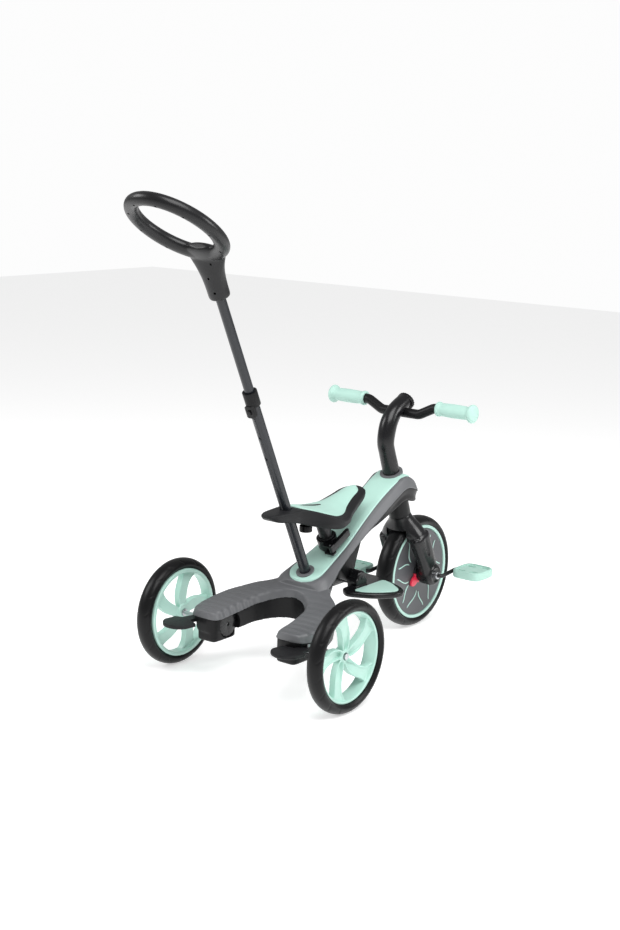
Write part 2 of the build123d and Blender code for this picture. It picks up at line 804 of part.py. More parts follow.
save(fork, "fork")

steerer_top = 30
with BuildPart() as steerer:
    steerer_bottom = head_tube_bottom - gap - 16
    length = steerer_top - steerer_bottom
    tube(steer_plane(steerer_bottom), steerer_radius, steerer_radius - wall, length)
save(steerer, "steerer")

bar_radius = 10.5
bar_ahead = 468
bar_height = 493
stem_foot = head_point - steer_direction * 0.6
stem_corner = head_point + steer_direction * 110
stem_end = at(482, 512)
stem_bend = 62
with BuildPart() as stem:
    with BuildLine():
        stem_path = FilletPolyline(stem_foot, stem_corner, stem_end, radius=stem_bend)
    with BuildSketch(steer_plane(-0.6)):
        Circle(stem_base_radius)
    sweep(path=stem_path)
    with BuildSketch(steer_plane(-0.6)):
        Circle(steerer_radius)
    extrude(amount=steerer_top + 0.6, mode=Mode.SUBTRACT)
    with BuildSketch(Plane.YZ.offset(-40)):
        with Locations((rear_axle_y - bar_ahead, bar_height)):
            Circle(bar_radius)
    extrude(amount=80, mode=Mode.SUBTRACT)
save(stem, "stem")

stem_forward = (stem_end - stem_corner).normalized()
with BuildPart() as stem_knob:
    with BuildSketch(Plane(origin=stem_end + stem_forward * gap, x_dir=(1, 0, 0), z_dir=stem_forward)):
        Circle(stem_base_radius + 2)
        with PolarLocations(stem_base_radius + 3, 20):
            Circle(1.8, mode=Mode.SUBTRACT)
    extrude(amount=8)
save(stem_knob, "stem_knob")

grip_start = 93
grip_end = 186
bar_rise = 18
with BuildPart() as handlebar:
    bar_end = at(bar_ahead + 2, bar_height + bar_rise, grip_end - 6)
    bar_bend_out = at(bar_ahead + 2, bar_height + bar_rise, 84)
    bar_bend_in = at(bar_ahead, bar_height, 48)
    path_points = [Vector(-p.X, p.Y, p.Z) for p in (bar_end, bar_bend_out, bar_bend_in)]
    path_points += [bar_bend_in, bar_bend_out, bar_end]
    with BuildLine():
        bar_path = FilletPolyline(*path_points, radius=24)
    with BuildSketch(Plane(origin=path_points[0], z_dir=(1, 0, 0))):
        Circle(bar_radius)
    sweep(path=bar_path)
save(handlebar, "handlebar")

for name, side in SIDES:
    with BuildPart() as grip:
        centre = at(bar_ahead + 2, bar_height + bar_rise)
        with BuildSketch(axle_section(centre, side)):
            with BuildLine():
                Polyline(
                    (bar_radius, grip_start),
                    (15, grip_start),
                    (16, grip_start + 2),
                    (16, grip_start + 5),
                    (14, grip_start + 7),
                    (14, grip_end - 16),
                    (19.5, grip_end - 12),
                )
                ThreePointArc((19.5, grip_end - 12), (17, grip_end - 3), (8, grip_end))
                Polyline(
                    (8, grip_end),
                    (0, grip_end),
                    (0, grip_end - 6),
                    (bar_radius, grip_end - 6),
                    (bar_radius, grip_start),
                )
            make_face()
        revolve(axis=Axis(centre, (1, 0, 0)))
    save(grip, f"grip_{name}")

# ---- front wheel, crankshaft and pedals ----
front_rim_radius = 105
front_rim_half = 18
disc_radius = 98
disc_face = 17
web_half = 11
front_hub_radius = 19
crank_radius = 52
crank_angle = 9
crank_rod_radius = 4.5
crank_exit = 76
crank_plane_end = 82
crank_bend = 7
pedal_inner = 89
pedal_outer = 160
slot_count = 12

with BuildPart() as front_tyre:
    with BuildSketch(axle_section(front_centre, 1)):
        tyre_profile(front_radius, 13, front_tyre_width, front_rim_radius, tyre_foot)
    revolve(axis=Axis(front_centre, (1, 0, 0)))
save(front_tyre, "front_tyre")

with BuildPart() as front_rim:
    with BuildSketch(axle_section(front_centre, 1)):
        polygon(
            (disc_radius, -front_rim_half),
            (front_rim_radius, -front_rim_half + 1),
            (front_rim_radius, front_rim_half - 1),
            (disc_radius, front_rim_half),
        )
        polygon(
            (crank_rod_radius, -web_half),
            (disc_radius, -web_half),
            (disc_radius, web_half),
            (crank_rod_radius, web_half),
        )
    revolve(axis=Axis(front_centre, (1, 0, 0)))
save(front_rim, "front_rim")

for name, side in SIDES:
    with BuildPart() as disc_cover:
        tube(wheel_face(front_centre, side, web_half), disc_radius, front_hub_radius, disc_face - web_half)
        with BuildSketch(wheel_face(front_centre, side, disc_face - 2)):
            with PolarLocations(0, slot_count):
                with BuildLine():
                    Spline(polar(45, 0), polar(66, 7), polar(86, 2))
                    Line(polar(86, 2), polar(86, 4))
                    Spline(polar(86, 4), polar(66, 9.5), polar(45, 3))
                    Line(polar(45, 3), polar(45, 0))
                make_face()
        extrude(amount=3, mode=Mode.SUBTRACT)
    save(disc_cover, f"disc_cover_{name}")

with BuildPart() as front_hubs:
    for _, side in SIDES:
        hub_length = fork_inner - web_half - gap
        tube(wheel_face(front_centre, side, web_half), front_hub_radius, crank_rod_radius, hub_length)
save(front_hubs, "front_hubs")

with BuildPart() as crank_bushes:
    for _, side in SIDES:
        tube(wheel_face(front_centre, side, fork_inner), 8, crank_rod_radius + running, 42)
save(crank_bushes, "crank_bushes")

crank_up = (0, sin(radians(crank_angle)), cos(radians(crank_angle)))
crank_plane = Plane(origin=front_centre, x_dir=(1, 0, 0), z_dir=crank_up)
with BuildPart() as crankshaft:
    crank_points = [
        (-pedal_outer + 3, -crank_radius),
        (-crank_plane_end, -crank_radius),
        (-crank_exit, 0),
        (crank_exit, 0),
        (crank_plane_end, crank_radius),
        (pedal_outer - 3, crank_radius),
    ]
    crank_points = [crank_plane.from_local_coords(Vector(*point)) for point in crank_points]
    with BuildLine():
        crank_path = FilletPolyline(*crank_points, radius=crank_bend)
    with BuildSketch(Plane(origin=crank_points[0], z_dir=(1, 0, 0))):
        Circle(crank_rod_radius)
    sweep(path=crank_path)
save(crankshaft, "crankshaft")

pedal_half_length = 38
pedal_thickness = 18
for name, side in SIDES:
    with BuildPart() as pedal:
        middle = (pedal_inner + pedal_outer) / 2
        centre = crank_plane.from_local_coords(Vector(side * middle, side * crank_radius, 0))
        with BuildSketch(Plane(origin=centre - Vector(0, 0, pedal_thickness / 2))):
            RectangleRounded(pedal_outer - pedal_inner, 2 * pedal_half_length, 14)
        extrude(amount=pedal_thickness)
        with BuildSketch(Plane(origin=centre - Vector(0, 0, pedal_thickness / 2))):
            with GridLocations(32, 44, 2, 2):
                RectangleRounded(22, 12, 4)
        extrude(amount=pedal_thickness, mode=Mode.SUBTRACT)
        with BuildSketch(Plane(origin=centre - Vector(side * 36, 0, 0), z_dir=(side, 0, 0))):
            Circle(crank_rod_radius + running)
        extrude(amount=70, mode=Mode.SUBTRACT)
    save(pedal, f"pedal_{name}")

with BuildPart() as freewheel_lever:
    with BuildSketch(wheel_face(front_centre, -1, disc_face + gap)):
        Circle(front_hub_radius + 5)
        with Locations((23, 16)):
            Ellipse(15, 10, rotation=35)
        Circle(front_hub_radius + running, mode=Mode.SUBTRACT)
    extrude(amount=5)
save(freewheel_lever, "freewheel_lever")

# ---- push pole ----
with BuildPart() as pole_lower_tube:
    length = collar_end - 2 + lower_tube_depth
    tube(pole_plane(-lower_tube_depth), lower_tube_radius, upper_tube_radius + running, length)
    for hole in range(3):
        origin = pole_base + pole_direction * (collar_start - 22 - hole * index_pitch)
        with BuildSketch(Plane(origin=origin, x_dir=(1, 0, 0), z_dir=pole_back)):
            Circle(3)
        extrude(amount=20, mode=Mode.SUBTRACT)
save(pole_lower_tube, "pole_lower_tube")

with BuildPart() as pole_collar:
    tube(pole_plane(collar_start), collar_radius, lower_tube_radius, collar_end - collar_start - 2)
    tube(pole_plane(collar_end - 2), collar_radius, upper_tube_radius + running, 2)
    button_foot = pole_base + pole_direction * button_distance
    button_plane = Plane(origin=button_foot, x_dir=(1, 0, 0), z_dir=pole_back)
    with BuildSketch(button_plane):
        RectangleRounded(18, 26, 4)
    extrude(amount=button_seat)
    rod(pole_plane(collar_start - 40), lower_tube_radius, 70, Mode.SUBTRACT)
    rod(button_plane, button_radius + running, 40, Mode.SUBTRACT)
save(pole_collar, "pole_collar")

with BuildPart() as pole_button:
    rod(button_plane.offset(button_seat - 2), button_radius, 5)
save(pole_button, "pole_button")

with BuildPart() as pole_upper_tube:
    length = neck_start + 55 - upper_tube_hidden_end
    tube(pole_plane(upper_tube_hidden_end), upper_tube_radius, upper_tube_radius - 1.5, length)
save(pole_upper_tube, "pole_upper_tube")

ring_start = pole_base + pole_direction * (neck_start + neck_length)
ring_centre = ring_start + ring_direction * ring_half_length
ring_plane = Plane(origin=ring_centre, x_dir=(1, 0, 0), z_dir=Vector(1, 0, 0).cross(ring_direction))


# The ring is an oval of four arcs that meet at (joint_x, joint_y) and its mirrors.
end_radius = 72
end_offset = ring_half_length - end_radius
side_radius = (end_offset**2 + ring_half_width**2 - end_radius**2) / (2 * (ring_half_width - end_radius))
side_offset = side_radius - ring_half_width
joint_x = side_radius * side_offset / (side_radius - end_radius) - side_offset
joint_y = side_radius * end_offset / (side_radius - end_radius)
screw_spots = []
for angle in (-25, 0, 25):
    for side in (1, -1):
        x = side_radius * cos(radians(angle)) - side_offset
        y = side_radius * sin(radians(angle))
        screw_spots.append(ring_plane.from_local_coords(Vector(side * x, y, 0)))
for angle in (65, 115):
    x = end_radius * cos(radians(angle))
    y = end_radius * sin(radians(angle)) + end_offset
    screw_spots.append(ring_plane.from_local_coords(Vector(x, y, 0)))


def whole_handle():
    """The ring and its neck as one shape."""
    with BuildLine(ring_plane) as oval:
        ThreePointArc((joint_x, -joint_y), (ring_half_width, 0), (joint_x, joint_y))
        ThreePointArc((joint_x, joint_y), (0, ring_half_length), (-joint_x, joint_y))
        ThreePointArc((-joint_x, joint_y), (-ring_half_width, 0), (-joint_x, -joint_y))
        ThreePointArc((-joint_x, -joint_y), (0, -ring_half_length), (joint_x, -joint_y))
    oval_wire = oval.wires()[0]
    with BuildSketch(Plane(origin=oval_wire @ 0, z_dir=oval_wire % 0)) as section:
        Circle(ring_tube_radius)
    sweep(section.sketch, path=oval_wire)
    with BuildSketch(pole_plane(neck_start)) as foot:
        Circle(neck_radius)
    with BuildSketch(pole_plane(neck_start + 50)) as waist:
        Ellipse(neck_radius + 2, neck_radius - 1)
    head_origin = ring_start + ring_direction * 4
    with BuildSketch(Plane(origin=head_origin, x_dir=(1, 0, 0), z_dir=ring_direction)) as head:
        Ellipse(46, ring_tube_radius - 1)
    loft([foot.sketch, waist.sketch, head.sketch])
    for spot in screw_spots:
        screw_plane = Plane(origin=spot, z_dir=ring_plane.z_dir).offset(-ring_tube_radius)
        rod(screw_plane, screw_radius, 2 * ring_tube_radius - 5, Mode.SUBTRACT)
        rod(screw_plane.offset(-2), boss_radius - 1, 6, Mode.SUBTRACT)
    rod(pole_plane(neck_start), upper_tube_radius + running, 56, Mode.SUBTRACT)


for name, keep in (("handle_upper_shell", Keep.TOP), ("handle_lower_shell", Keep.BOTTOM)):
    with BuildPart() as handle_shell:
        whole_handle()
        split(bisect_by=ring_plane, keep=keep)
    save(handle_shell, name)

with BuildPart() as handle_screws:
    for spot in screw_spots:
        head = Plane(origin=spot, z_dir=ring_plane.z_dir).offset(1.5 - ring_tube_radius)
        rod(head, boss_radius - 1, 2.5)
        rod(head, screw_radius, 2 * ring_tube_radius - 7)
save(handle_screws, "handle_screws")
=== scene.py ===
import json
from math import cos, exp, pi, radians, sin, sqrt

import bpy
from mathutils import Matrix, Vector

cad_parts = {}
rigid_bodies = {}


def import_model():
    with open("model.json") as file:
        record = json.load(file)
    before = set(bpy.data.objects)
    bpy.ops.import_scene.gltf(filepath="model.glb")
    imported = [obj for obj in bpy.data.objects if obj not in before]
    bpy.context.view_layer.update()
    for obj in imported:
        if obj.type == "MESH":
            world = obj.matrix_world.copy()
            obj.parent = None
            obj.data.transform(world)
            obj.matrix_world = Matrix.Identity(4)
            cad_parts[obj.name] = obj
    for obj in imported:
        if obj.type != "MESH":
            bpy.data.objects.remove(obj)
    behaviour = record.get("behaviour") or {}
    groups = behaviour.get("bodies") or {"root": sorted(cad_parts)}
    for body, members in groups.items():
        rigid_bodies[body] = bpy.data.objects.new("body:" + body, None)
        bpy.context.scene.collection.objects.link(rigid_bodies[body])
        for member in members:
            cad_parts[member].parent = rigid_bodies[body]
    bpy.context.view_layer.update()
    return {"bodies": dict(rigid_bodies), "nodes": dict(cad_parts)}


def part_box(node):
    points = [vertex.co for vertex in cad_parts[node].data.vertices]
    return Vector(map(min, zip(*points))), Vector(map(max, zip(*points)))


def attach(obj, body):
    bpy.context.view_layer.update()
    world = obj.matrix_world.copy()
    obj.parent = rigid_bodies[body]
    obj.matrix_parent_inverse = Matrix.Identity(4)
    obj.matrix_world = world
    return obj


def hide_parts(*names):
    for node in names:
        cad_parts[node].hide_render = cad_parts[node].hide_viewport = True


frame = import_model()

# ---------------------------------------------------------------- the studio
# A plain pale floor, a white surround and three soft lamps, with the camera
# standing behind the tricycle and to its right, a little above the handlebar.
axle_low, axle_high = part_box("rear_tyre_left")
rear_y = (axle_low[1] + axle_high[1]) / 2 * 1000
rear_z = (axle_low[2] + axle_high[2]) / 2 * 1000
wheel_x = (axle_low[0] + axle_high[0]) / 2 * 1000


def at(ahead, height, across=0.0):
    """A place in millimetres, from how far it lies ahead of the rear axle."""
    return Vector((across, rear_y - ahead, height))


scene = bpy.context.scene
scene.view_settings.view_transform = "Standard"
yaw, pitch, roll = 0.64757, 0.20712, 0.02983
forward = Vector((sin(yaw) * cos(pitch), -cos(yaw) * cos(pitch), -sin(pitch)))
right = forward.cross(Vector((0, 0, 1))).normalized()
upward = right.cross(forward)
right_rolled = right * cos(roll) + upward * sin(roll)
up_rolled = upward * cos(roll) - right * sin(roll)
place = Vector((-1818.73, 2252.96 + rear_y, 1056.96)) / 1000
bpy.ops.object.camera_add()
camera = bpy.context.object
camera.data.sensor_width = 36
camera.data.lens = 59.69
axes = Matrix((right_rolled, up_rolled, -forward)).transposed().to_4x4()
camera.matrix_world = Matrix.Translation(place) @ axes
scene.camera = camera

bpy.ops.mesh.primitive_plane_add(size=14, location=(0, 0, 0))
floor = bpy.context.object
floor.name = "floor"
sheen = bpy.data.materials.new("pale_floor")
sheen.use_nodes = True
floor_shader = sheen.node_tree.nodes["Principled BSDF"]
floor_shader.inputs["Base Color"].default_value = (0.93, 0.93, 0.93, 1)
floor_shader.inputs["Roughness"].default_value = 0.16
floor_shader.inputs["Emission Color"].default_value = (1, 1, 1, 1)
floor_shader.inputs["Emission Strength"].default_value = 0.5
floor_shader.inputs["Specular IOR Level"].default_value = 0.15
floor.data.materials.append(sheen)

world = bpy.data.worlds.new("surround")
scene.world = world
world.use_nodes = True
world.node_tree.nodes["Background"].inputs["Color"].default_value = (1, 1, 1, 1)
world.node_tree.nodes["Background"].inputs["Strength"].default_value = 0.37
backdrop = world.node_tree.nodes.new("ShaderNodeBackground")
backdrop.inputs["Color"].default_value = (1, 1, 1, 1)
backdrop.inputs["Strength"].default_value = 0.98
chooser = world.node_tree.nodes.new("ShaderNodeMixShader")
ray = world.node_tree.nodes.new("ShaderNodeLightPath")
world.node_tree.links.new(ray.outputs["Is Camera Ray"], chooser.inputs["Fac"])
world.node_tree.links.new(world.node_tree.nodes["Background"].outputs[0], chooser.inputs[1])
world.node_tree.links.new(backdrop.outputs[0], chooser.inputs[2])
world.node_tree.links.new(chooser.outputs[0], world.node_tree.nodes["World Output"].inputs["Surface"])
for spot, size, power in (((-1.2, 0.9, 2.8), 1.9, 68), ((2.0, 1.6, 2.0), 1.2, 28), ((-2.2, -1.2, 1.5), 1.0, 24)):
    bpy.ops.object.light_add(type="AREA", location=spot)
    lamp = bpy.context.object
    lamp.data.size = size
    lamp.data.energy = power
    lamp.rotation_euler = (Vector((0, 0, 0.4)) - Vector(spot)).to_track_quat("-Z", "Y").to_euler()

# ------------------------------------------------------- grey frame top shell
# The visible back of the frame: a moulded graphite shell, one long spine that
# splits into two arms. It is injection moulded with fine cross ribs on the arms.
spine_stations = [
    (124, 186, 30, 52, 12), (147, 200, 43, 64, 17), (200, 223, 38, 51, 15), (250, 247, 34, 44, 15),
    (300, 281, 33, 44, 19), (350, 314, 33, 46, 23), (400, 342, 35, 46, 24), (441, 360, 38, 46, 25),
    (480, 348, 32, 42, 21), (503, 331, 22, 31, 14), (512, 322, 13, 19, 9),
]
arm_stations = [
    (172, -2, 52, 190, 16, 160), (147, -2, 65, 184, 17, 134), (128, -2, 84, 177, 17, 118),
    (114, -2, 103, 172.5, 17, 111),
    (111.5, 7, 106, 171.5, 17, 110.5), (107, 20, 111, 170, 17, 109.5), (99, 33, 119, 167, 17, 108),
    (88, 45, 128, 163.5, 17, 106),
    (75, 53, 137, 160.3, 17, 104), (60, 60, 144, 157, 17, 102),
    (33, 65, 150, 152, 17, 98), (0, 69, 151, 147, 17, 98), (-22, 70.5, 148, 144.5, 17, 98),
    (-36, 73, 141, 143, 16.5, 99), (-43, 79, 132, 142.3, 15.5, 100), (-46, 90, 119, 142, 15, 100),
]


def eased(stations, steps=5):
    """More stations on a smooth curve through the given ones."""
    dense = []
    for i in range(len(stations) - 1):
        before, near = stations[max(i - 1, 0)], stations[i]
        far, after = stations[i + 1], stations[min(i + 2, len(stations) - 1)]
        for step in range(steps):
            t = step / steps
            dense.append([
                0.5 * (2 * b + (c - a) * t + (2 * a - 5 * b + 4 * c - d) * t**2 + (3 * b - a - 3 * c + d) * t**3)
                for a, b, c, d in zip(before, near, far, after)
            ])
    return dense + [list(stations[-1])]


def skin(name, rows, around=True, loop=False):
    """A grid laid through rows of places; around closes each row, loop joins the last row to the first."""
    bpy.ops.object.select_all(action="DESELECT")
    wide = len(rows[0]) if around else len(rows[0]) - 1
    long = len(rows) if loop else len(rows) - 1
    bpy.ops.mesh.primitive_grid_add(x_subdivisions=wide, y_subdivisions=long, size=1)
    piece = bpy.context.object
    piece.name = name
    places = []
    for row in rows + ([rows[0]] if loop else []):
        for spot in list(row) + ([row[0]] if around else []):
            places += [value / 1000 for value in spot]
    piece.data.vertices.foreach_set("co", places)
    bpy.ops.object.mode_set(mode="EDIT")
    bpy.ops.mesh.select_all(action="SELECT")
    bpy.ops.mesh.remove_doubles(threshold=1e-6)
    if around and not loop:
        bpy.ops.mesh.fill_holes(sides=0)
    bpy.ops.mesh.select_all(action="SELECT")
    bpy.ops.mesh.normals_make_consistent(inside=False)
    bpy.ops.object.mode_set(mode="OBJECT")
    return piece


def apply_all(piece):
    """Applies the piece's modifiers in order."""
    bpy.ops.object.select_all(action="DESELECT")
    piece.select_set(True)
    bpy.context.view_layer.objects.active = piece
    for modifier in list(piece.modifiers):
        bpy.ops.object.modifier_apply(modifier=modifier.name)


def smooth(piece, angle=40):
    """Smooth shading that keeps sharp edges."""
    bpy.ops.object.select_all(action="DESELECT")
    piece.select_set(True)
    bpy.context.view_layer.objects.active = piece
    bpy.ops.object.shade_smooth_by_angle(angle=radians(angle))


def blended(name, parts, voxel=1.8, rounds=6):
    """Joins closed pieces into one skin whose corners run softly into each other."""
    bpy.ops.object.select_all(action="DESELECT")
    for part in parts:
        part.select_set(True)
    bpy.context.view_layer.objects.active = parts[0]
    if len(parts) > 1:
        bpy.ops.object.join()
    piece = bpy.context.object
    piece.name = name
    remesh = piece.modifiers.new("clay", "REMESH")
    remesh.mode = "VOXEL"
    remesh.voxel_size = voxel / 1000
    relax = piece.modifiers.new("relax", "SMOOTH")
    relax.factor = 0.5
    relax.iterations = rounds
    apply_all(piece)
    smooth(piece, 60)
    return piece


def dressed(piece, material, body, slot, *nodes):
    """Gives a finished piece its material and its body, and hides the CAD nodes that it stands for."""
    piece.data.materials.clear()
    piece.data.materials.append(material)
    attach(piece, body)
    if nodes:
        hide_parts(*nodes)
    return piece


def finish_of(name, colour, rough=0.45, grain=900, bump=0.12, mottle=0.06, coat=0.0, metal=0.0, wear=0.12, shine=0.5):
    """A surface of its own colour, with fine grain, uneven gloss and paler worn edges."""
    material = bpy.data.materials.new(name)
    material.use_nodes = True
    nodes, links = material.node_tree.nodes, material.node_tree.links
    shader = nodes["Principled BSDF"]
    where = nodes.new("ShaderNodeTexCoord")
    broad = nodes.new("ShaderNodeTexNoise")
    broad.inputs["Scale"].default_value = 14
    broad.inputs["Detail"].default_value = 5
    fine = nodes.new("ShaderNodeTexNoise")
    fine.inputs["Scale"].default_value = grain
    fine.inputs["Detail"].default_value = 3
    for texture in (broad, fine):
        links.new(where.outputs["Object"], texture.inputs["Vector"])
    tint = nodes.new("ShaderNodeValToRGB")
    tint.color_ramp.elements[0].position = 0.3
    tint.color_ramp.elements[1].position = 0.7
    tint.color_ramp.elements[0].color = [c * (1 - mottle) for c in colour] + [1]
    tint.color_ramp.elements[1].color = [min(c * (1 + mottle), 1) for c in colour] + [1]
    links.new(broad.outputs["Fac"], tint.inputs["Fac"])
    edge = nodes.new("ShaderNodeNewGeometry")
    edge_ramp = nodes.new("ShaderNodeValToRGB")
    edge_ramp.color_ramp.elements[0].position = 0.52
    edge_ramp.color_ramp.elements[1].position = 0.62
    edge_ramp.color_ramp.elements[0].color = (0, 0, 0, 1)
    edge_ramp.color_ramp.elements[1].color = (wear, wear, wear, 1)
    links.new(edge.outputs["Pointiness"], edge_ramp.inputs["Fac"])
    worn = nodes.new("ShaderNodeMix")
    worn.data_type = "RGBA"
    links.new(edge_ramp.outputs["Color"], worn.inputs["Factor"])
    links.new(tint.outputs["Color"], worn.inputs[6])
    worn.inputs[7].default_value = [min(c * 1.5 + 0.04, 1) for c in colour] + [1]
    links.new(worn.outputs[2], shader.inputs["Base Color"])
    gloss = nodes.new("ShaderNodeMapRange")
    gloss.inputs["To Min"].default_value = max(rough - 0.09, 0.05)
    gloss.inputs["To Max"].default_value = rough + 0.12
    links.new(broad.outputs["Fac"], gloss.inputs["Value"])
    links.new(gloss.outputs["Result"], shader.inputs["Roughness"])
    relief = nodes.new("ShaderNodeBump")
    relief.inputs["Strength"].default_value = bump
    relief.inputs["Distance"].default_value = 0.0004
    links.new(fine.outputs["Fac"], relief.inputs["Height"])
    links.new(relief.outputs["Normal"], shader.inputs["Normal"])
    shader.inputs["Metallic"].default_value = metal
    shader.inputs["Specular IOR Level"].default_value = shine
    shader.inputs["Coat Weight"].default_value = coat
    shader.inputs["Coat Roughness"].default_value = 0.15
    return material


def ribbed(material, scale, depth, start, end):
    """Adds fine moulded cross ribs to a finish; they fade in between two places along Y."""
    nodes, links = material.node_tree.nodes, material.node_tree.links
    shader = nodes["Principled BSDF"]
    where = nodes.new("ShaderNodeTexCoord")
    placing = nodes.new("ShaderNodeMapping")
    placing.inputs["Rotation"].default_value = (0, 0, radians(90))
    bands = nodes.new("ShaderNodeTexWave")
    bands.inputs["Scale"].default_value = scale
    bands.inputs["Distortion"].default_value = 0
    links.new(where.outputs["Object"], placing.inputs["Vector"])
    links.new(placing.outputs["Vector"], bands.inputs["Vector"])
    relief = nodes.new("ShaderNodeBump")
    relief.inputs["Strength"].default_value = depth
    relief.inputs["Distance"].default_value = 0.002
    parts = nodes.new("ShaderNodeSeparateXYZ")
    fade = nodes.new("ShaderNodeMapRange")
    fade.inputs["From Min"].default_value = start / 1000
    fade.inputs["From Max"].default_value = end / 1000
    height = nodes.new("ShaderNodeMath")
    height.operation = "MULTIPLY"
    links.new(where.outputs["Object"], parts.inputs["Vector"])
    links.new(parts.outputs["Y"], fade.inputs["Value"])
    links.new(bands.outputs["Fac"], height.inputs[0])
    links.new(fade.outputs["Result"], height.inputs[1])
    links.new(height.outputs["Value"], relief.inputs["Height"])
    older = shader.inputs["Normal"].links[0].from_socket
    links.new(older, relief.inputs["Normal"])
    links.new(relief.outputs["Normal"], shader.inputs["Normal"])
    return material


graphite = finish_of("graphite_plastic", (0.125, 0.128, 0.135), rough=0.42, grain=1400, bump=0.25)
arm_grey = ribbed(finish_of("graphite_arms", (0.125, 0.128, 0.135), 0.42, 1400, 0.25), 17.5, 0.8, rear_y - 130,
    rear_y - 95)


def spine_row(station, grow=0):
    ahead, deck, deck_half, side_half, drop = station
    half, side, seam = deck_half + grow, side_half + grow, deck - drop
    outline = [(0, deck + 1), (half * 0.6, deck + 0.8), (half, deck), (half + (side - half) * 0.35, deck - 3.5),
               (side - 0.8, seam + 3.5), (side, seam), (side * 0.5, seam)]
    mirrored = [(-x, z) for x, z in reversed(outline[1:])]
    return [at(ahead, z, x) for x, z in outline + [(0, seam)] + mirrored]


def arm_row(station, side):
    ahead, inner, outer, top, drop, _ = station
    bevel = 5.5 * min(max(inner / 14, 0), 1)
    middle = (inner + outer) / 2
    outline = [(inner + bevel, top - 0.6 * bevel), (inner + bevel * 1.8, top), (middle, top + 1), (outer - 10, top),
               (outer - 5.5, top - 3.4), (outer - 0.3, top - drop + 2), (outer, top - drop), (middle, top - drop),
               (inner, top - drop), (inner + 0.3, top - drop + 2)]
    return [at(ahead, z, side * x) for x, z in outline]


shells = [skin("spine", [spine_row(s) for s in eased(spine_stations)])]
for side in (1, -1):
    shells.append(skin("arm", [arm_row(s, side) for s in eased(arm_stations)]))
top_shell = blended("frame_top", shells, voxel=1.5, rounds=5)
dressed(top_shell, arm_grey, "frame", "grey_plastic", "frame_top_shell")

# ------------------------------------------------------------ mint deck panel
# A thin glossy cover of mint plastic that clips on the spine, from the round
# end behind the push pole up to the stem.
mint = finish_of("mint_plastic", (0.452, 0.70, 0.615), rough=0.36, grain=1100, bump=0.10, mottle=0.025,
    coat=0.15, wear=0.2)
deck_stations = [
    (125, 188, 8), (128, 190, 20), (134, 193, 30), (147, 200, 38), (170, 210, 38), (200, 223, 35), (250, 247, 31.5),
    (300, 281, 30.5), (350, 314, 30.5), (400, 342, 32), (425, 352, 34.5), (446, 359.6, 35), (462, 355.6, 33),
    (472, 351.6, 26), (477, 349.4, 17), (479, 348.6, 7),
]
deck_rows = []
for ahead, height, half in eased(deck_stations, 4):
    outline = [(0, 4.6), (half * 0.5, 4.4), (half - 2, 3.6), (half - 0.4, 2.4), (half, 0), (half - 1, -2)]
    outline += [(-x, z) for x, z in reversed(outline[1:])]
    deck_rows.append([at(ahead, height + z, x) for x, z in outline])
deck = skin("deck_cover", deck_rows)
smooth(deck, 50)
dressed(deck, mint, "frame", "mint_plastic", "deck_panel")

# ----------------------------------------------------------- black lower shell
# The underside of the frame: a deep black moulding that closes the grey shell
# from below, carries the rear axles in its two end blocks and holds the footrest's hinge.
satin_black = finish_of("satin_black_plastic", (0.007, 0.007, 0.0076), 0.36, 1300, 0.2, mottle=0.15, shine=0.2,
    wear=0.04)
gloss_black = finish_of("gloss_black_plastic", (0.006, 0.006, 0.007), 0.26, 700, 0.05, mottle=0.15, coat=0.1,
    shine=0.35, wear=0.04)
charcoal = finish_of("charcoal_plastic", (0.014, 0.0142, 0.0155), 0.45, 1500, 0.3, mottle=0.1, shine=0.22, wear=0.05)


def softened(node, width, material, slot, body=None, segments=3, angle=35, name=None):
    """A merged copy of a CAD node with its edges rounded over, standing for that node."""
    bpy.ops.object.select_all(action="DESELECT")
    source = frame["nodes"][node]
    source.hide_set(False)
    source.select_set(True)
    bpy.context.view_layer.objects.active = source
    bpy.ops.object.duplicate()
    piece = bpy.context.object
    piece.name = name or node + "_piece"
    bpy.ops.object.mode_set(mode="EDIT")
    bpy.ops.mesh.select_all(action="SELECT")
    bpy.ops.mesh.remove_doubles(threshold=1e-5)
    bpy.ops.mesh.dissolve_limited(angle_limit=radians(1.5))
    bpy.ops.object.mode_set(mode="OBJECT")
    if width:
        round_over = piece.modifiers.new("round_over", "BEVEL")
        round_over.width = width / 1000
        round_over.segments = segments
        round_over.limit_method = "ANGLE"
        round_over.angle_limit = radians(32)
        apply_all(piece)
    smooth(piece, angle)
    home = body or next(name for name, owner in frame["bodies"].items() if source.parent == owner)
    return dressed(piece, material, home, slot, node)


def block_row(height, side, grow=0.0):
    """A level section through the block at an arm's tip."""
    row = []
    for step in range(40):
        angle = 2 * pi * step / 40
        c, s = cos(angle), sin(angle)
        x = (24 + grow) * abs(c) ** 0.32 * (1 if c >= 0 else -1)
        y = (34.5 + grow) * abs(s) ** 0.32 * (1 if s >= 0 else -1)
        row.append(at(-9 - y, height, side * (100 + x)))
    return row


def cut(piece, cutter):
    """Takes one shape away from another."""
    hollow = piece.modifiers.new("cut", "BOOLEAN")
    hollow.object = cutter
    hollow.solver = "EXACT"
    apply_all(piece)
    bpy.data.objects.remove(cutter)


def rod(name, start, end, radius, count=48):
    """A round bar between two places."""
    middle, along = (start + end) / 2, end - start
    bpy.ops.mesh.primitive_cylinder_add(vertices=count, radius=radius / 1000, depth=along.length / 1000,
        location=middle / 1000)
    bar = bpy.context.object
    bar.rotation_euler = along.to_track_quat("Z", "Y").to_euler()
    bpy.ops.object.transform_apply(location=True, rotation=True, scale=True)
    bar.name = name
    return bar


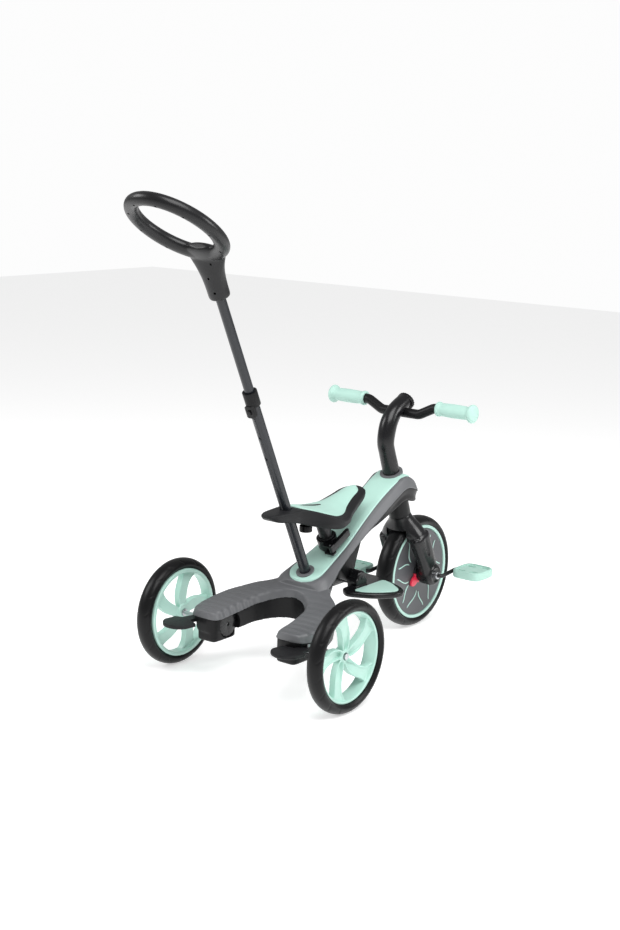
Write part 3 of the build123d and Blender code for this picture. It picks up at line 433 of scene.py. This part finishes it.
def brick(name, low, high):
    """A plain box between two corners in millimetres."""
    bpy.ops.mesh.primitive_cube_add(size=1, location=(low + high) / 2000)
    block = bpy.context.object
    block.name = name
    block.scale = (high - low) / 1000
    bpy.ops.object.transform_apply(location=True, rotation=True, scale=True)
    return block


belly_depths = (28, 28, 24, 9, 12, 22, 28, 29, 28, 22, 14)
belly_rows = []
for ahead, deck, _, half, drop, depth in eased([s + (d,) for s, d in zip(spine_stations, belly_depths)]):
    seam, floor_half, half = deck - drop, (half - 3) * (0.74 + 0.2 * min(max((ahead - 300) / 120, 0), 1)), half - 3
    outline = [(0, seam + 2), (half, seam + 2), (half, seam - 3), (half - 3, seam - depth * 0.5),
        (floor_half, seam - depth + 3),
               (floor_half - 4, seam - depth), (0, seam - depth)]
    belly_rows.append([at(ahead, z, x) for x, z in outline + [(-x, z) for x, z in reversed(outline[1:-1])]])
under_parts = [skin("belly", belly_rows)]
for side in (1, -1):
    wall_rows = []
    for ahead, inner, outer, top, drop, low in eased(arm_stations):
        seam, inner, outer = top - drop + 2, inner + 4 * min(max(inner / 14, 0), 1), outer - 4
        outline = [(inner, seam), (outer, seam), (outer, seam - 5), (outer - 6, low + 4), (outer - 10, low),
            (inner + 1.5, low), (inner, low + 3)]
        wall_rows.append([at(ahead, z, side * x) for x, z in outline])
    under_parts.append(skin("arm_wall", wall_rows))
    under_parts.append(skin("tip_block", [block_row(z, side, g) for z, g in ((80, -4), (81.2, -1.4), (83.5, 0),
        (110, 0), (126, 0))]))
hinge_rows = []
for height, near, far in ((158, 6, 7), (161, 10, 13), (168, 13, 20), (178, 15, 28), (192, 20, 38),
        (208, 27, 46), (222, 34, 52), (236, 40, 56),
                          (250, 40, 22), (262, 38, 4)):
    row = []
    for step in range(28):
        angle = 2 * pi * step / 28
        c, s = cos(angle), sin(angle)
        depth = near if s >= 0 else far
        row.append(at(286 + depth * abs(s) ** 0.7 * (1 if s >= 0 else -1), height,
            16.8 * abs(c) ** 0.5 * (1 if c >= 0 else -1)))
    hinge_rows.append(row)
under_parts.append(skin("hinge_bracket", hinge_rows))
under = blended("frame_under", under_parts, voxel=1.75, rounds=4)
for side in (1, -1):
    axle = at(0, 110, side * 50)
    cut(under, rod("knob_room", axle, axle + Vector((side * 38.4, 0, 0)), 27.6, 64))
    corners = at(-9.5, 92, side * 124), at(-60, 119.4, side * 165)
    low = Vector([min(a, b) for a, b in zip(*corners)])
    high = Vector([max(a, b) for a, b in zip(*corners)])
    cut(under, brick("paddle_room", low, high))
post_foot, post_mouth = Vector((0, -83.5, 196.1)), Vector((0, -47.6, 270))
cut(under, rod("post_room", post_foot, post_mouth, 15.6))
smooth(under, 50)
dressed(under, satin_black, "frame", "black_plastic", "frame_lower_shell")

# ------------------------------------------------------- small frame hardware
# Zinc-plated axle bolts, washers, pins and screws, and the turned rings and
# sockets that line the frame's openings.
zinc = finish_of("zinc_steel", (0.55, 0.56, 0.58), rough=0.28, grain=500, bump=0.06, metal=1.0, mottle=0.08)
dark_steel = finish_of("blackened_steel", (0.03, 0.03, 0.032), rough=0.3, grain=500, bump=0.06, metal=0.6)
softened("footrest_pin", 0.8, dark_steel, "steel")
for node in ("axle_bolts", "axle_washers", "brake_pins", "clamp_pin", "frame_screws"):
    softened(node, 0.5, zinc, "steel", segments=2)
softened("pole_socket", 1.2, graphite, "charcoal_plastic")
softened("head_ring", 1.0, graphite, "grey_plastic")
softened("seat_socket", 1.0, charcoal, "charcoal_plastic")
softened("head_tube", 0.8, satin_black, "black_plastic")
softened("head_bearings", 0.4, charcoal, "charcoal_plastic")
softened("axle_knobs", 1.2, gloss_black, "black_plastic")

# ---------------------------------------------------------------- rear wheels
# Each rear wheel is a black foam tyre on a one-piece mint rim with five
# swirling spokes, turning on a plain bush over the axle bolt.
tyre_black = finish_of("tyre_rubber", (0.006, 0.006, 0.0065), 0.3, 1600, 0.25, mottle=0.12, wear=0.03, shine=0.2)


def turned(name, profile, centre, side, steps=128, shape=None):
    """A profile of (outboard, radius) turned about a wheel's axis."""
    rows = []
    for step in range(steps):
        angle = 2 * pi * step / steps
        row = []
        for index, (out, radius) in enumerate(profile):
            if shape:
                out, radius = shape(index, angle, out, radius)
            row.append(centre + Vector((side * out, radius * cos(angle), radius * sin(angle))))
        rows.append(row)
    return skin(name, rows, around=True, loop=True)


def tyre(name, centre, side, outer, half, inner, grooves, body, node):
    """A round-shouldered tyre with shallow slanting cuts in its shoulders."""
    profile = []
    for step in range(25):
        angle = pi * (step / 24)
        out = (half - 0.4) * cos(angle)
        profile.append((out, outer - 14 + 14 * abs(sin(angle)) ** 0.8))
    profile += [(-half + 1.2, inner + 5), (-half + 4, inner), (0, inner), (half - 4, inner), (half - 1.2, inner + 5)]

    def cuts(index, angle, out, radius):
        if 2 <= index <= 7 or 17 <= index <= 22:
            slant = (index - 4.5) * 0.018 if index < 12 else (19.5 - index) * 0.018
            phase = (angle + slant) / (2 * pi / grooves) % 1
            dip = exp(-(((phase - 0.5) * 2 * pi * outer / grooves) / 1.3) ** 2)
            return out * (1 - 0.05 * dip), radius - 0.9 * dip
        return out, radius

    piece = turned(name, profile, centre, side, 480, cuts)
    smooth(piece, 60)
    return dressed(piece, tyre_black, body, "tyre_rubber", node)


def spoke_row(radius, angle, half, face, depth, sunk, side, centre):
    """One section across a channelled spoke."""
    lip = 2.4 + 0.06 * half
    outline = [(-half, face - depth), (-half, face), (-half + lip * 0.5, face + 0.7), (-half + lip, face),
               (-half + lip + 1.6, face - sunk), (0, face - sunk - 0.6), (half - lip - 1.6, face - sunk),
               (half - lip, face), (half - lip * 0.5, face + 0.7), (half, face), (half, face - depth)]
    row = []
    for across, out in outline:
        turn = angle + across / radius
        row.append(centre + Vector((side * out, radius * sin(turn) * -side, radius * cos(turn))))
    return row


for hand, side in (("left", 1), ("right", -1)):
    centre = Vector((side * wheel_x, rear_y, rear_z))
    body = "rear_wheel_" + hand
    tyre("rear_tyre_" + hand + "_piece", centre, side, 110, 17.3, 90, 18, body, "rear_tyre_" + hand)
    rim_profile = [(10.2, 89.6), (10.8, 87.5), (10.2, 85.2), (8.2, 84.2), (0, 83.2), (-8, 82.8), (-18, 82.4),
        (-19.2, 83.4),
                   (-19.2, 89.6), (-18, 90.4), (8, 90.4)]
    parts = [turned("rim", rim_profile, centre, side, 160)]
    hub_profile = [(-3, 6.6), (-1.6, 7.6), (-1.6, 10.4), (-3.4, 11.4), (-4.2, 12.6), (-10, 13.6), (-18.6, 17.6),
        (-19, 16), (-19, 6.6)]
    parts.append(turned("hub", hub_profile, centre, side, 96))
    for number in range(5):
        rows = []
        for step in range(15):
            t = step / 14
            radius = 13 + 73 * t
            swirl = radians(72 * number - 4) + radians(24) * t**1.2
            half = 7.4 + 5 * (1 - exp(-t / 0.14)) + 75 * max(t - 0.66, 0) ** 2
            face = -2.6 + 7.5 * t**1.1
            sunk = 6.5 * exp(-((t / 0.3) ** 2)) + 1.3
            rows.append(spoke_row(radius, swirl, half, face, 13.5, sunk, side, centre))
        parts.append(skin("spoke", rows))
    rim = blended("rear_rim_" + hand + "_piece", parts, voxel=1.1, rounds=3)
    dressed(rim, mint, body, "mint_plastic", "rear_rim_" + hand)
    softened("rear_bush_" + hand, 0.4, charcoal, "charcoal_plastic")

# ---------------------------------------------------------------- front wheel
# The front wheel has a wider tyre on a mint rim; dark discs cover its web, cut
# through by short curved strokes, and the cranks pass through its hub.
front_low, front_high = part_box("front_tyre")
front = Vector(((front_low[0] + front_high[0]) / 2, (front_low[1] + front_high[1]) / 2,
    (front_low[2] + front_high[2]) / 2)) * 1000
tyre("front_tyre_piece", front, 1, 125, 21, 105, 20, "front_wheel", "front_tyre")
ring_profile = [(18.4, 104.8), (18.8, 102), (18.2, 99), (16.2, 98.2), (13, 97.8), (11, 90), (11, 5), (-11, 5),
    (-11, 90), (-13, 97.8),
                (-16.2, 98.2), (-18.2, 99), (-18.8, 102), (-18.4, 104.8), (-17, 105.6), (17, 105.6)]
front_rim = turned("front_rim_piece", ring_profile, front, 1, 160)
smooth(front_rim, 45)
dressed(front_rim, mint, "front_wheel", "mint_plastic", "front_rim")
disc_grey = finish_of("disc_grey_plastic", (0.085, 0.087, 0.094), rough=0.4, grain=1500, bump=0.3)
for hand, side in (("left", 1), ("right", -1)):
    disc_profile = [(16.2, 97.6), (16.8, 95.5), (16.2, 92), (15.4, 60), (16.2, 30), (16.8, 20), (11.2, 20),
        (11.2, 97.4)]
    disc = turned("disc_cover_" + hand + "_piece", disc_profile, front, side, 160)
    smooth(disc, 40)
    dressed(disc, disc_grey, "front_wheel", "charcoal_plastic", "disc_cover_" + hand)
    strokes = []
    for number in range(12):
        start, end = (22, 8) if number % 2 else (-28, -8)
        start, bend = radians(number // 2 * 60 + 7 + start), radians(end - start)
        inner, outer = (46, 86) if number % 2 else (43, 87)
        rows = []
        for step in range(13):
            t = step / 12
            radius = inner + (outer - inner) * t
            angle = start + bend * sin(t * pi / 2) ** 2
            half = 1.1 * (1 - (2 * t - 1) ** 8) + 0.1
            along = Vector((0, -sin(angle), cos(angle)))
            base = front + Vector((side * 15.2, radius * cos(angle), radius * sin(angle)))
            lift = Vector((side * 1.6, 0, 0))
            rows.append([base - along * half, base - along * half + lift, base + along * half + lift,
                base + along * half])
        strokes.append(skin("stroke", rows))
    bpy.ops.object.select_all(action="DESELECT")
    for stroke in strokes:
        stroke.select_set(True)
    bpy.context.view_layer.objects.active = strokes[0]
    bpy.ops.object.join()
    strokes[0].name = "disc_strokes_" + hand
    smooth(strokes[0], 40)
    dressed(strokes[0], mint, "front_wheel", "mint_plastic")
softened("front_hubs", 0.8, satin_black, "black_plastic")
red = finish_of("red_plastic", (0.83, 0.03, 0.075), rough=0.3, grain=900, bump=0.08, mottle=0.04, coat=0.2)
red_nodes, red_links = red.node_tree.nodes, red.node_tree.links
paddle = front + Vector((0, 23, -16))
spot = red_nodes.new("ShaderNodeTexCoord")
apart = red_nodes.new("ShaderNodeSeparateXYZ")
flat = red_nodes.new("ShaderNodeCombineXYZ")
reach_of = red_nodes.new("ShaderNodeVectorMath")
reach_of.operation = "DISTANCE"
reach_of.inputs[1].default_value = (0, paddle.y / 1000, paddle.z / 1000)
rim_of = red_nodes.new("ShaderNodeMapRange")
rim_of.inputs["From Min"].default_value = 0.0155
rim_of.inputs["From Max"].default_value = 0.0165
dyed = red_nodes.new("ShaderNodeMix")
dyed.data_type = "RGBA"
dyed.inputs[7].default_value = (0.008, 0.008, 0.009, 1)
red_links.new(spot.outputs["Object"], apart.inputs["Vector"])
red_links.new(apart.outputs["Y"], flat.inputs["Y"])
red_links.new(apart.outputs["Z"], flat.inputs["Z"])
red_links.new(flat.outputs["Vector"], reach_of.inputs[0])
red_links.new(reach_of.outputs["Value"], rim_of.inputs["Value"])
red_links.new(rim_of.outputs["Result"], dyed.inputs["Factor"])
red_shader = red_nodes["Principled BSDF"]
red_links.new(red_shader.inputs["Base Color"].links[0].from_socket, dyed.inputs[6])
red_links.new(dyed.outputs[2], red_shader.inputs["Base Color"])
softened("freewheel_lever", 1.0, red, "red_plastic")

# --------------------------------------------------------- cranks and pedals
# One bent steel rod runs through the hub; each end carries a mint pedal with
# four slots and a raised rim.
softened("crankshaft", 0, dark_steel, "steel")
softened("crank_bushes", 0.5, zinc, "steel")
mint_pedal = finish_of("mint_pedal_plastic", (0.44, 0.69, 0.60), rough=0.4, grain=900, bump=0.2, mottle=0.03,
    wear=0.2)
for hand, side in (("left", 1), ("right", -1)):
    low, high = [Vector(corner) * 1000 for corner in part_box("pedal_" + hand)]
    middle, size = (low + high) / 2, high - low

    def pedal_row(height, across, deep, corner=4.5):
        """A level section through the pedal."""
        row = []
        for step in range(56):
            angle = 2 * pi * step / 56
            c, s = cos(angle), sin(angle)
            x = across * abs(c) ** (2 / corner) * (1 if c >= 0 else -1)
            y = deep * abs(s) ** (2 / corner) * (1 if s >= 0 else -1)
            row.append(middle + Vector((x, y, height)))
        return row

    wide, deep, tall = size.x / 2, size.y / 2, size.z / 2
    block = skin("pedal_" + hand + "_piece", [
        pedal_row(-tall, wide - 2, deep - 2), pedal_row(1.6 - tall, wide - 0.4, deep - 0.4),
        pedal_row(3 - tall, wide, deep),
        pedal_row(tall - 3, wide, deep), pedal_row(tall - 1.6, wide - 0.4, deep - 0.4),
        pedal_row(tall, wide - 2, deep - 2),
    ])
    for level in (1, -1):
        cut(block, skin("tray", [pedal_row(level * (tall - 2.4), wide - 5, deep - 5, 4),
            pedal_row(level * (tall + 2), wide - 4.2, deep - 4.2, 4)]))
    for across in (-15.5, 15.5):
        for along in (-22, 0, 22):
            bend = 3 if across > 0 else -3
            slot = middle + Vector((across, along, 0))
            rows = []
            for step in range(9):
                t = step / 8 * 2 - 1
                half = 4.6 * (1 - t**8) ** 0.5 + 0.1 if along else 0
                if half:
                    rows.append([slot + Vector((11 * t, y + bend * (1 - t * t), z)) for y,
                        z in ((-half, -20), (half, -20), (half, 20), (-half, 20))])
            if rows:
                cut(block, skin("slot", rows))
    smooth(block, 45)
    dressed(block, mint_pedal, "pedal_" + hand, "mint_plastic", "pedal_" + hand)

# ----------------------------------------------------------------------- fork
# A glossy black one-piece fork: a round crown under the head tube, two arched
# legs with a shallow recess, and round hub housings.
head_angle = radians(22)
steer = Vector((0, sin(head_angle), cos(head_angle)))
steer_back = Vector((0, cos(head_angle), -sin(head_angle)))
head = at(441, 367)


def oval_row(distance, across, half_wide, half_deep, shift=0.0, corner=2.6, count=28):
    """A rounded section across the steering axis."""
    row = []
    for step in range(count):
        angle = 2 * pi * step / count
        c, s = cos(angle), sin(angle)
        x = half_wide * (abs(c) ** (2 / corner)) * (1 if c >= 0 else -1)
        y = half_deep * (abs(s) ** (2 / corner)) * (1 if s >= 0 else -1)
        row.append(head + steer * distance + Vector((across + x, 0, 0)) + steer_back * (y + shift))
    return row


fork_parts = [skin("crown", [
    oval_row(s, 0, w, d, corner=k)
    for s, w, d, k in eased([(-108.6, 23.5, 23.5, 2.0), (-115, 25, 24, 2.05), (-123, 29.5, 25, 2.15),
    (-131, 35.5, 26.5, 2.3),
                                    (-139, 41.5, 28, 2.5), (-147, 46.8, 29, 2.6), (-155, 51, 28, 2.8),
                                    (-163, 53, 25, 2.9), (-171, 53.8, 19, 3), (-178, 54, 11, 3)], 3)
])]
for side in (1, -1):
    legs = [(-158, 40, 12.6, 26.5, 0), (-163, 40.8, 13.8, 27.6, 0), (-170, 41, 14.5, 27.8, -0.3),
        (-200, 42, 15, 25.5, -2),
            (-230, 43, 15.5, 23.5, -3.5), (-262, 43.5, 16, 22.5, -4.8)]
    fork_parts.append(skin("leg", [oval_row(s, side * x, w, d, shift, 3.0) for s, x, w, d, shift in eased(legs, 4)]))
    housing = [(27.6, 3), (27.6, 22.5), (30, 24), (52, 24.4), (58, 23.4), (61, 21), (62, 19.5), (61.6, 15.5),
        (59.5, 14.5), (59.5, 9), (59.5, 3)]
    fork_parts.append(turned("housing", housing, front, side, 64))
    bpy.ops.mesh.primitive_uv_sphere_add(segments=24, ring_count=16, radius=0.0065,
        location=(head + steer * -236 + steer_back * -22 + Vector((side * 50, 0, 0))) / 1000)
    bpy.ops.object.transform_apply(location=True, rotation=True, scale=True)
    fork_parts.append(bpy.context.object)
fork = blended("fork_piece", fork_parts, voxel=1.4, rounds=16)
for side in (1, -1):
    hollow_rows = []
    for step in range(13):
        t = step / 12 * 2 - 1
        reach = max(1 - t * t, 0.003) ** 0.5
        hollow_rows.append([head + steer * (-182 + 32 * t) + steer_back * (9.5 * reach * cos(a) - 1) + Vector((side * (60 + 6.3 * reach * sin(a)), 0, 0))
                            for a in [2 * pi * k / 28 for k in range(28)]])
    cut(fork, skin("hollow", hollow_rows))
bpy.ops.mesh.primitive_cylinder_add(vertices=128, radius=0.1305, depth=0.0515, location=front / 1000,
    rotation=(0, pi / 2, 0))
clearance = bpy.context.object
notch = fork.modifiers.new("wheel_room", "BOOLEAN")
notch.object = clearance
notch.solver = "EXACT"
apply_all(fork)
bpy.data.objects.remove(clearance)
smooth(fork, 50)
dressed(fork, gloss_black, "steering", "black_plastic", "fork")
softened("steerer", 0.3, zinc, "steel")

# ------------------------------------------------------- stem, bar and grips
# A fat black stem bends forward over the head; a curved bar passes through it
# and ends in two mint rubber grips, and a ribbed cap closes the stem.


def tube(name, spots, radii, count=32):
    """A round tube through a smooth curve of places."""
    path = eased([tuple(s) + (r,) for s, r in zip(spots, radii)], 6)
    rows = []
    aside = Vector((1, 0, 0))
    for index, (x, y, z, radius) in enumerate(path):
        here = Vector((x, y, z))
        ahead = Vector(path[min(index + 1, len(path) - 1)][:3]) - Vector(path[max(index - 1, 0)][:3])
        ahead.normalize()
        if abs(ahead.dot(aside)) > 0.9:
            aside = Vector((0, 0, 1))
        across = (aside - ahead * aside.dot(ahead)).normalized()
        other = ahead.cross(across)
        aside = across
        rows.append([here + (across * cos(2 * pi * k / count) + other * sin(2 * pi * k / count)) * radius
            for k in range(count)])
    return skin(name, rows)


stem_places = [head - steer * 0.5, head + steer * 22, head + steer * 48, at(416.5, 431), at(418.5, 453),
    at(426, 475), at(441, 494), at(460, 506), at(481, 515)]
stem = tube("stem_piece", stem_places, [18.4, 18.2, 17.8, 18.2, 18.8, 18.8, 18, 17.4, 17], 40)
smooth(stem, 45)
dressed(stem, gloss_black, "steering", "black_plastic", "stem")
softened("stem_knob", 1.0, satin_black, "black_plastic")
softened("handlebar", 0, satin_black, "black_tube")
mint_rubber = finish_of("mint_grip_rubber", (0.445, 0.685, 0.605), rough=0.55, grain=1500, bump=0.35, mottle=0.03)
bar_low, bar_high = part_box("grip_left")
for hand, side in (("left", 1), ("right", -1)):
    grip_centre = Vector((0, (bar_low[1] + bar_high[1]) * 500, (bar_low[2] + bar_high[2]) * 500))
    grip_profile = [(93, 10.8), (93, 14.2), (94.5, 15.6), (97.5, 16), (100.5, 15.2), (103, 13.9)]
    for step in range(22):
        out = 106 + step * 2.9
        grip_profile.append((out, 13.8 + 0.9 * sin((out - 106) / 61 * pi) + (0.35 if step % 2 else -0.15)))
    grip_profile += [(170.5, 14.6), (173, 17.2), (175.5, 19.2), (178.5, 19.7), (181.5, 19), (184, 16.5),
        (185.6, 12), (186, 3), (186, 0.6), (179, 0.6), (179, 10.8)]
    grip = turned("grip_" + hand + "_piece", grip_profile, grip_centre, side, 72)
    smooth(grip, 55)
    dressed(grip, mint_rubber, "steering", "grip_rubber", "grip_" + hand)

# ----------------------------------------------------------------------- seat
# The saddle is a charcoal moulding whose back loops round the push pole, with
# a mint pad let into its top and a dark slot in the pad's rear.
seat_stations = [
    (13, 344, 343.4, 340, 6), (17, 344, 343, 336, 14), (34, 345, 344, 328, 22), (72, 346, 344, 322, 28),
    (96, 347, 344, 316, 31),
    (122, 343, 338, 308, 44), (150, 338, 327, 301, 66), (176, 334, 319, 297, 74), (204, 333, 318, 297, 67),
    (236, 336, 323, 302, 50), (270, 345, 335, 314, 39), (300, 354, 346, 328, 32), (318, 355, 349, 336, 21),
    (323, 353, 349, 342, 10),
]


def saddle_row(station, inset, lift, drop):
    ahead, centre, edge, under, half = station
    half = max(half - inset, 1.5)
    outline = []
    for share in (0.0, 0.2, 0.4, 0.6, 0.78, 0.9, 0.97):
        outline.append((half * share, edge + (centre - edge) * (1 - share**2.2) + lift))
    outline.append((half, edge - 2.5 + lift * 0.4))
    low = under if drop is None else edge - drop
    outline += [(half * 0.985, (edge + low) / 2 - 1), (half * 0.86, low + 1.2), (half * 0.78, low), (half * 0.4, low)]
    mirrored = [(-x, z) for x, z in reversed(outline[1:])]
    return [at(ahead, z, x) for x, z in outline + [(0, low)] + mirrored]


saddle = skin("saddle", [saddle_row(s, 0, 0, None) for s in eased(seat_stations, 5)])
saddle = blended("seat_base_piece", [saddle], voxel=1.6, rounds=5)
pole_foot = at(147, 203)
lean = radians(26)
pole = Vector((0, sin(lean), cos(lean)))
pole_back = Vector((0, cos(lean), -sin(lean)))


cut(saddle, rod("pole_room", pole_foot + pole * 100, pole_foot + pole * 220, 12.2))
smooth(saddle, 50)
dressed(saddle, charcoal, "seat", "charcoal_plastic", "seat_base")
pad_stations = [
    (98, 346, 343, 0, 12), (103, 346.5, 343, 0, 24), (112, 345, 340, 0, 33), (126, 342, 335, 0, 44),
    (150, 338, 327, 0, 61), (174, 334.5, 319, 0, 68.5),
    (204, 333, 318, 0, 61), (236, 336, 323, 0, 44), (270, 345, 335, 0, 32), (292, 352, 344, 0, 26),
    (302, 354.3, 347, 0, 20), (308, 355, 349, 0, 10),
]
pad = skin("seat_pad_raw", [saddle_row(s, 4, 3.4, 5) for s in eased(pad_stations, 5)])
pad = blended("seat_pad_piece", [pad], voxel=1.3, rounds=3)
for piece in (pad, saddle):
    slot_rows = []
    for ahead, half in ((121, 0.6), (126, 3.5), (138, 5.2), (156, 6), (174, 5.6), (186, 3.8), (193, 0.6)):
        slot_rows.append([at(ahead, z, x) for x, z in ((-half, 318), (half, 318), (half, 360), (-half, 360))])
    cut(piece, skin("slot", slot_rows))
smooth(saddle, 50)
slot_rows = []
for ahead, half, top in ((121, 0.6, 343.8), (126, 3.6, 344.6), (138, 5.3, 343.4), (156, 6.1, 340.7),
        (174, 5.7, 337.9), (186, 3.9, 337), (193, 0.6, 336.2)):
    slot_rows.append([at(ahead, z, x) for x, z in ((-half, 316), (half, 316), (half, top), (-half, top))])
slot_lining = skin("seat_slot_lining", slot_rows)
dressed(slot_lining, charcoal, "seat", "charcoal_plastic")
smooth(pad, 50)
dressed(pad, mint, "seat", "mint_plastic", "seat_pad")
softened("seat_post", 0.5, dark_steel, "black_tube")
softened("seat_knob", 2.0, satin_black, "black_plastic")
softened("seat_clamp", 1.5, gloss_black, "black_plastic")
softened("seat_clamp_lever", 2.5, gloss_black, "black_plastic")

# ------------------------------------------------------------------- footrest
# A black tray with two wings folds down on a cross pin under the spine; each
# wing carries a mint pad with a fine dimpled tread.
hinge = at(286, 170)
tray_top = 152


def wing_outline(corners, side, inset=0.0, steps=6):
    """A smooth closed outline through the corners of a wing, as (across, ahead), drawn in by inset."""
    count = len(corners)
    loose = []
    for i in range(count):
        a, b, c, d = [corners[(i + k - 1) % count] for k in range(4)]
        for step in range(steps):
            t = step / steps
            loose.append([0.5 * (2 * q + (s - p) * t + (2 * p - 5 * q + 4 * s - u) * t**2 + (3 * q - p - 3 * s + u) * t**3)
                          for p, q, s, u in zip(a, b, c, d)])
    spots = []
    for i, (x, ahead) in enumerate(loose):
        (x0, a0), (x1, a1) = loose[i - 1], loose[(i + 1) % len(loose)]
        length = sqrt((x1 - x0) ** 2 + (a1 - a0) ** 2)
        spots.append((side * (x - (a1 - a0) / length * inset), ahead + (x1 - x0) / length * inset))
    return spots


wing = [(19.6, 300), (19.6, 256), (24, 245), (36, 234), (50, 232), (74, 243), (98, 258), (118, 280), (129, 302),
    (127, 319), (113, 334),
        (92, 348), (66, 359), (40, 368), (24, 372), (19.6, 362)]
tray_parts = []
for side in (1, -1):
    levels = ((tray_top - 12, 4), (tray_top - 10.8, 1.4), (tray_top - 8.6, 0), (tray_top - 3.4, 0),
        (tray_top - 1.2, 1.2), (tray_top, 3.4))
    tray_parts.append(skin("wing", [[at(ahead, z, x) for x, ahead in wing_outline(wing, side, inset)] for z,
        inset in levels]))
    ear_rows = []
    for out, grow in ((17.6, -2), (18.6, -0.4), (20, 0), (40, 0), (42.6, -1), (43.8, -3)):
        row = []
        for step in range(32):
            angle = 2 * pi * step / 32
            c, s = cos(angle), sin(angle)
            reach = 14.6 + grow + (7 * max(-s, 0) ** 1.5)
            row.append(hinge + Vector((side * out, reach * c * (1.3 if s < 0 else 1),
                max(reach * s * (1.5 if s < 0 else 1), tray_top - 176))))
        ear_rows.append(row)
    tray_parts.append(skin("ear", ear_rows))
tray_parts.append(brick("bridge", at(374, tray_top - 11.6, -30), at(314, tray_top - 0.4, 30)))
tray = blended("footrest_tray_piece", tray_parts, voxel=1.5, rounds=4)
dressed(tray, gloss_black, "footrest", "black_plastic", "footrest_tray")
tread = finish_of("mint_tread_plastic", (0.47, 0.715, 0.63), rough=0.42, grain=230, bump=0.6, mottle=0.03)
pad_corners = [(51, 300), (50, 258), (56, 247), (72, 250), (92, 264), (110, 284), (119, 302), (115, 316),
    (101, 328), (80, 342), (58, 350), (51, 342)]
pads = []
for side in (1, -1):
    levels = ((tray_top - 1, 0), (tray_top + 0.9, 0), (tray_top + 1.7, 0.7), (tray_top + 2, 2))
    pads.append(skin("pad", [[at(ahead, z, x) for x, ahead in wing_outline(pad_corners, side, inset)] for z,
        inset in levels]))
bpy.ops.object.select_all(action="DESELECT")
for pad in pads:
    pad.select_set(True)
bpy.context.view_layer.objects.active = pads[0]
bpy.ops.object.join()
pads[0].name = "footrest_pads_piece"
smooth(pads[0], 40)
dressed(pads[0], tread, "footrest", "mint_plastic", "footrest_pads")

# -------------------------------------------------------------- brake paddles
# Two flat charcoal tongues swing sideways behind the rear arms.
for hand in ("left", "right"):
    softened("brake_paddle_" + hand, 2.2, charcoal, "charcoal_plastic", segments=4)

# ------------------------------------------------------------------ push pole
# Two steel tubes telescope inside each other under a moulded collar with a
# sprung button; the handle's ring turns on the top of the upper tube.
tube_black = finish_of("coated_tube", (0.008, 0.010, 0.014), rough=0.24, grain=900, bump=0.05, mottle=0.1,
    coat=0.15, shine=0.4)
softened("pole_lower_tube", 0, tube_black, "black_tube")
softened("pole_upper_tube", 0, tube_black, "black_tube")
softened("pole_collar", 1.2, satin_black, "black_plastic")
softened("pole_button", 0.8, satin_black, "black_plastic")
tilt = radians(32)
ring_axis = pole * cos(tilt) + pole_back * sin(tilt)
ring_normal = Vector((1, 0, 0)).cross(ring_axis)
ring_start = pole_foot + pole * 726
ring_centre = ring_start + ring_axis * 93
rows = []
for step in range(160):
    turn = 2 * pi * step / 160
    spot = ring_centre + Vector((80 * cos(turn), 0, 0)) + ring_axis * (93 * sin(turn))
    outward = (Vector((93 * cos(turn), 0, 0)) + ring_axis * (80 * sin(turn))).normalized()
    row = []
    for k in range(24):
        a = 2 * pi * k / 24
        broad = 12.9 + max(-sin(turn), 0) * (6 if cos(a) < 0 else 1.5 * abs(cos(turn)))
        row.append(spot + outward * (broad * cos(a)) + ring_normal * (12.6 * sin(a)))
    rows.append(row)
ring = skin("ring", rows, around=True, loop=True)
neck_rows = []
for s, wide, deep, tip_turn in eased([
    (638, 19, 17.5, 0), (642, 21, 18.6, 0), (662, 22, 18.4, 0.1), (680, 25, 17.6, 0.3), (696, 30, 16.8, 0.5),
    (710, 36.5, 15.4, 0.75),
    (722, 43, 14.2, 0.95), (732, 47, 13, 1.0), (741, 46, 11.6, 1.0), (749, 36, 9.6, 1.0), (754, 20, 7, 1.0),
], 5):
    back = pole_back * cos(tilt * tip_turn) - pole * sin(tilt * tip_turn)
    here = pole_foot + pole * min(s, 726) + ring_axis * max(s - 726, 0)
    row = []
    for k in range(36):
        a = 2 * pi * k / 36
        row.append(here + Vector((wide * cos(a), 0, 0)) + back * (deep * sin(a)))
    neck_rows.append(row)
neck = skin("neck", neck_rows)
handle_black = finish_of("handle_black_plastic", (0.007, 0.007, 0.008), 0.33, 1500, 0.06, mottle=0.12,
    shine=0.3, wear=0.03, coat=0.12)
handle = blended("handle_piece", [ring, neck], voxel=1.6, rounds=12)
holes = [ring_centre + Vector((80 * cos(radians(a)), 0, 0)) + ring_axis * (93 * sin(radians(a)))
    for a in (-38, 0, 38, 72, 108, 142, 180, 218)]
for index, spot in enumerate(holes):
    cut(handle, rod("screw_hole", spot - ring_normal * 16, spot - ring_normal * 8.5, 2.4, 20))
for s, across in ((655, -7), (684, -2), (712, -14)):
    spot = pole_foot + pole * s + Vector((across, 0, 0))
    cut(handle, rod("screw_hole", spot + pole_back * 24, spot + pole_back * 10.5, 2.4, 20))
smooth(handle, 50)
dressed(handle, handle_black, "handle", "charcoal_plastic", "handle_upper_shell", "handle_lower_shell")

softened("handle_screws", 0.3, dark_steel, "steel", segments=2)
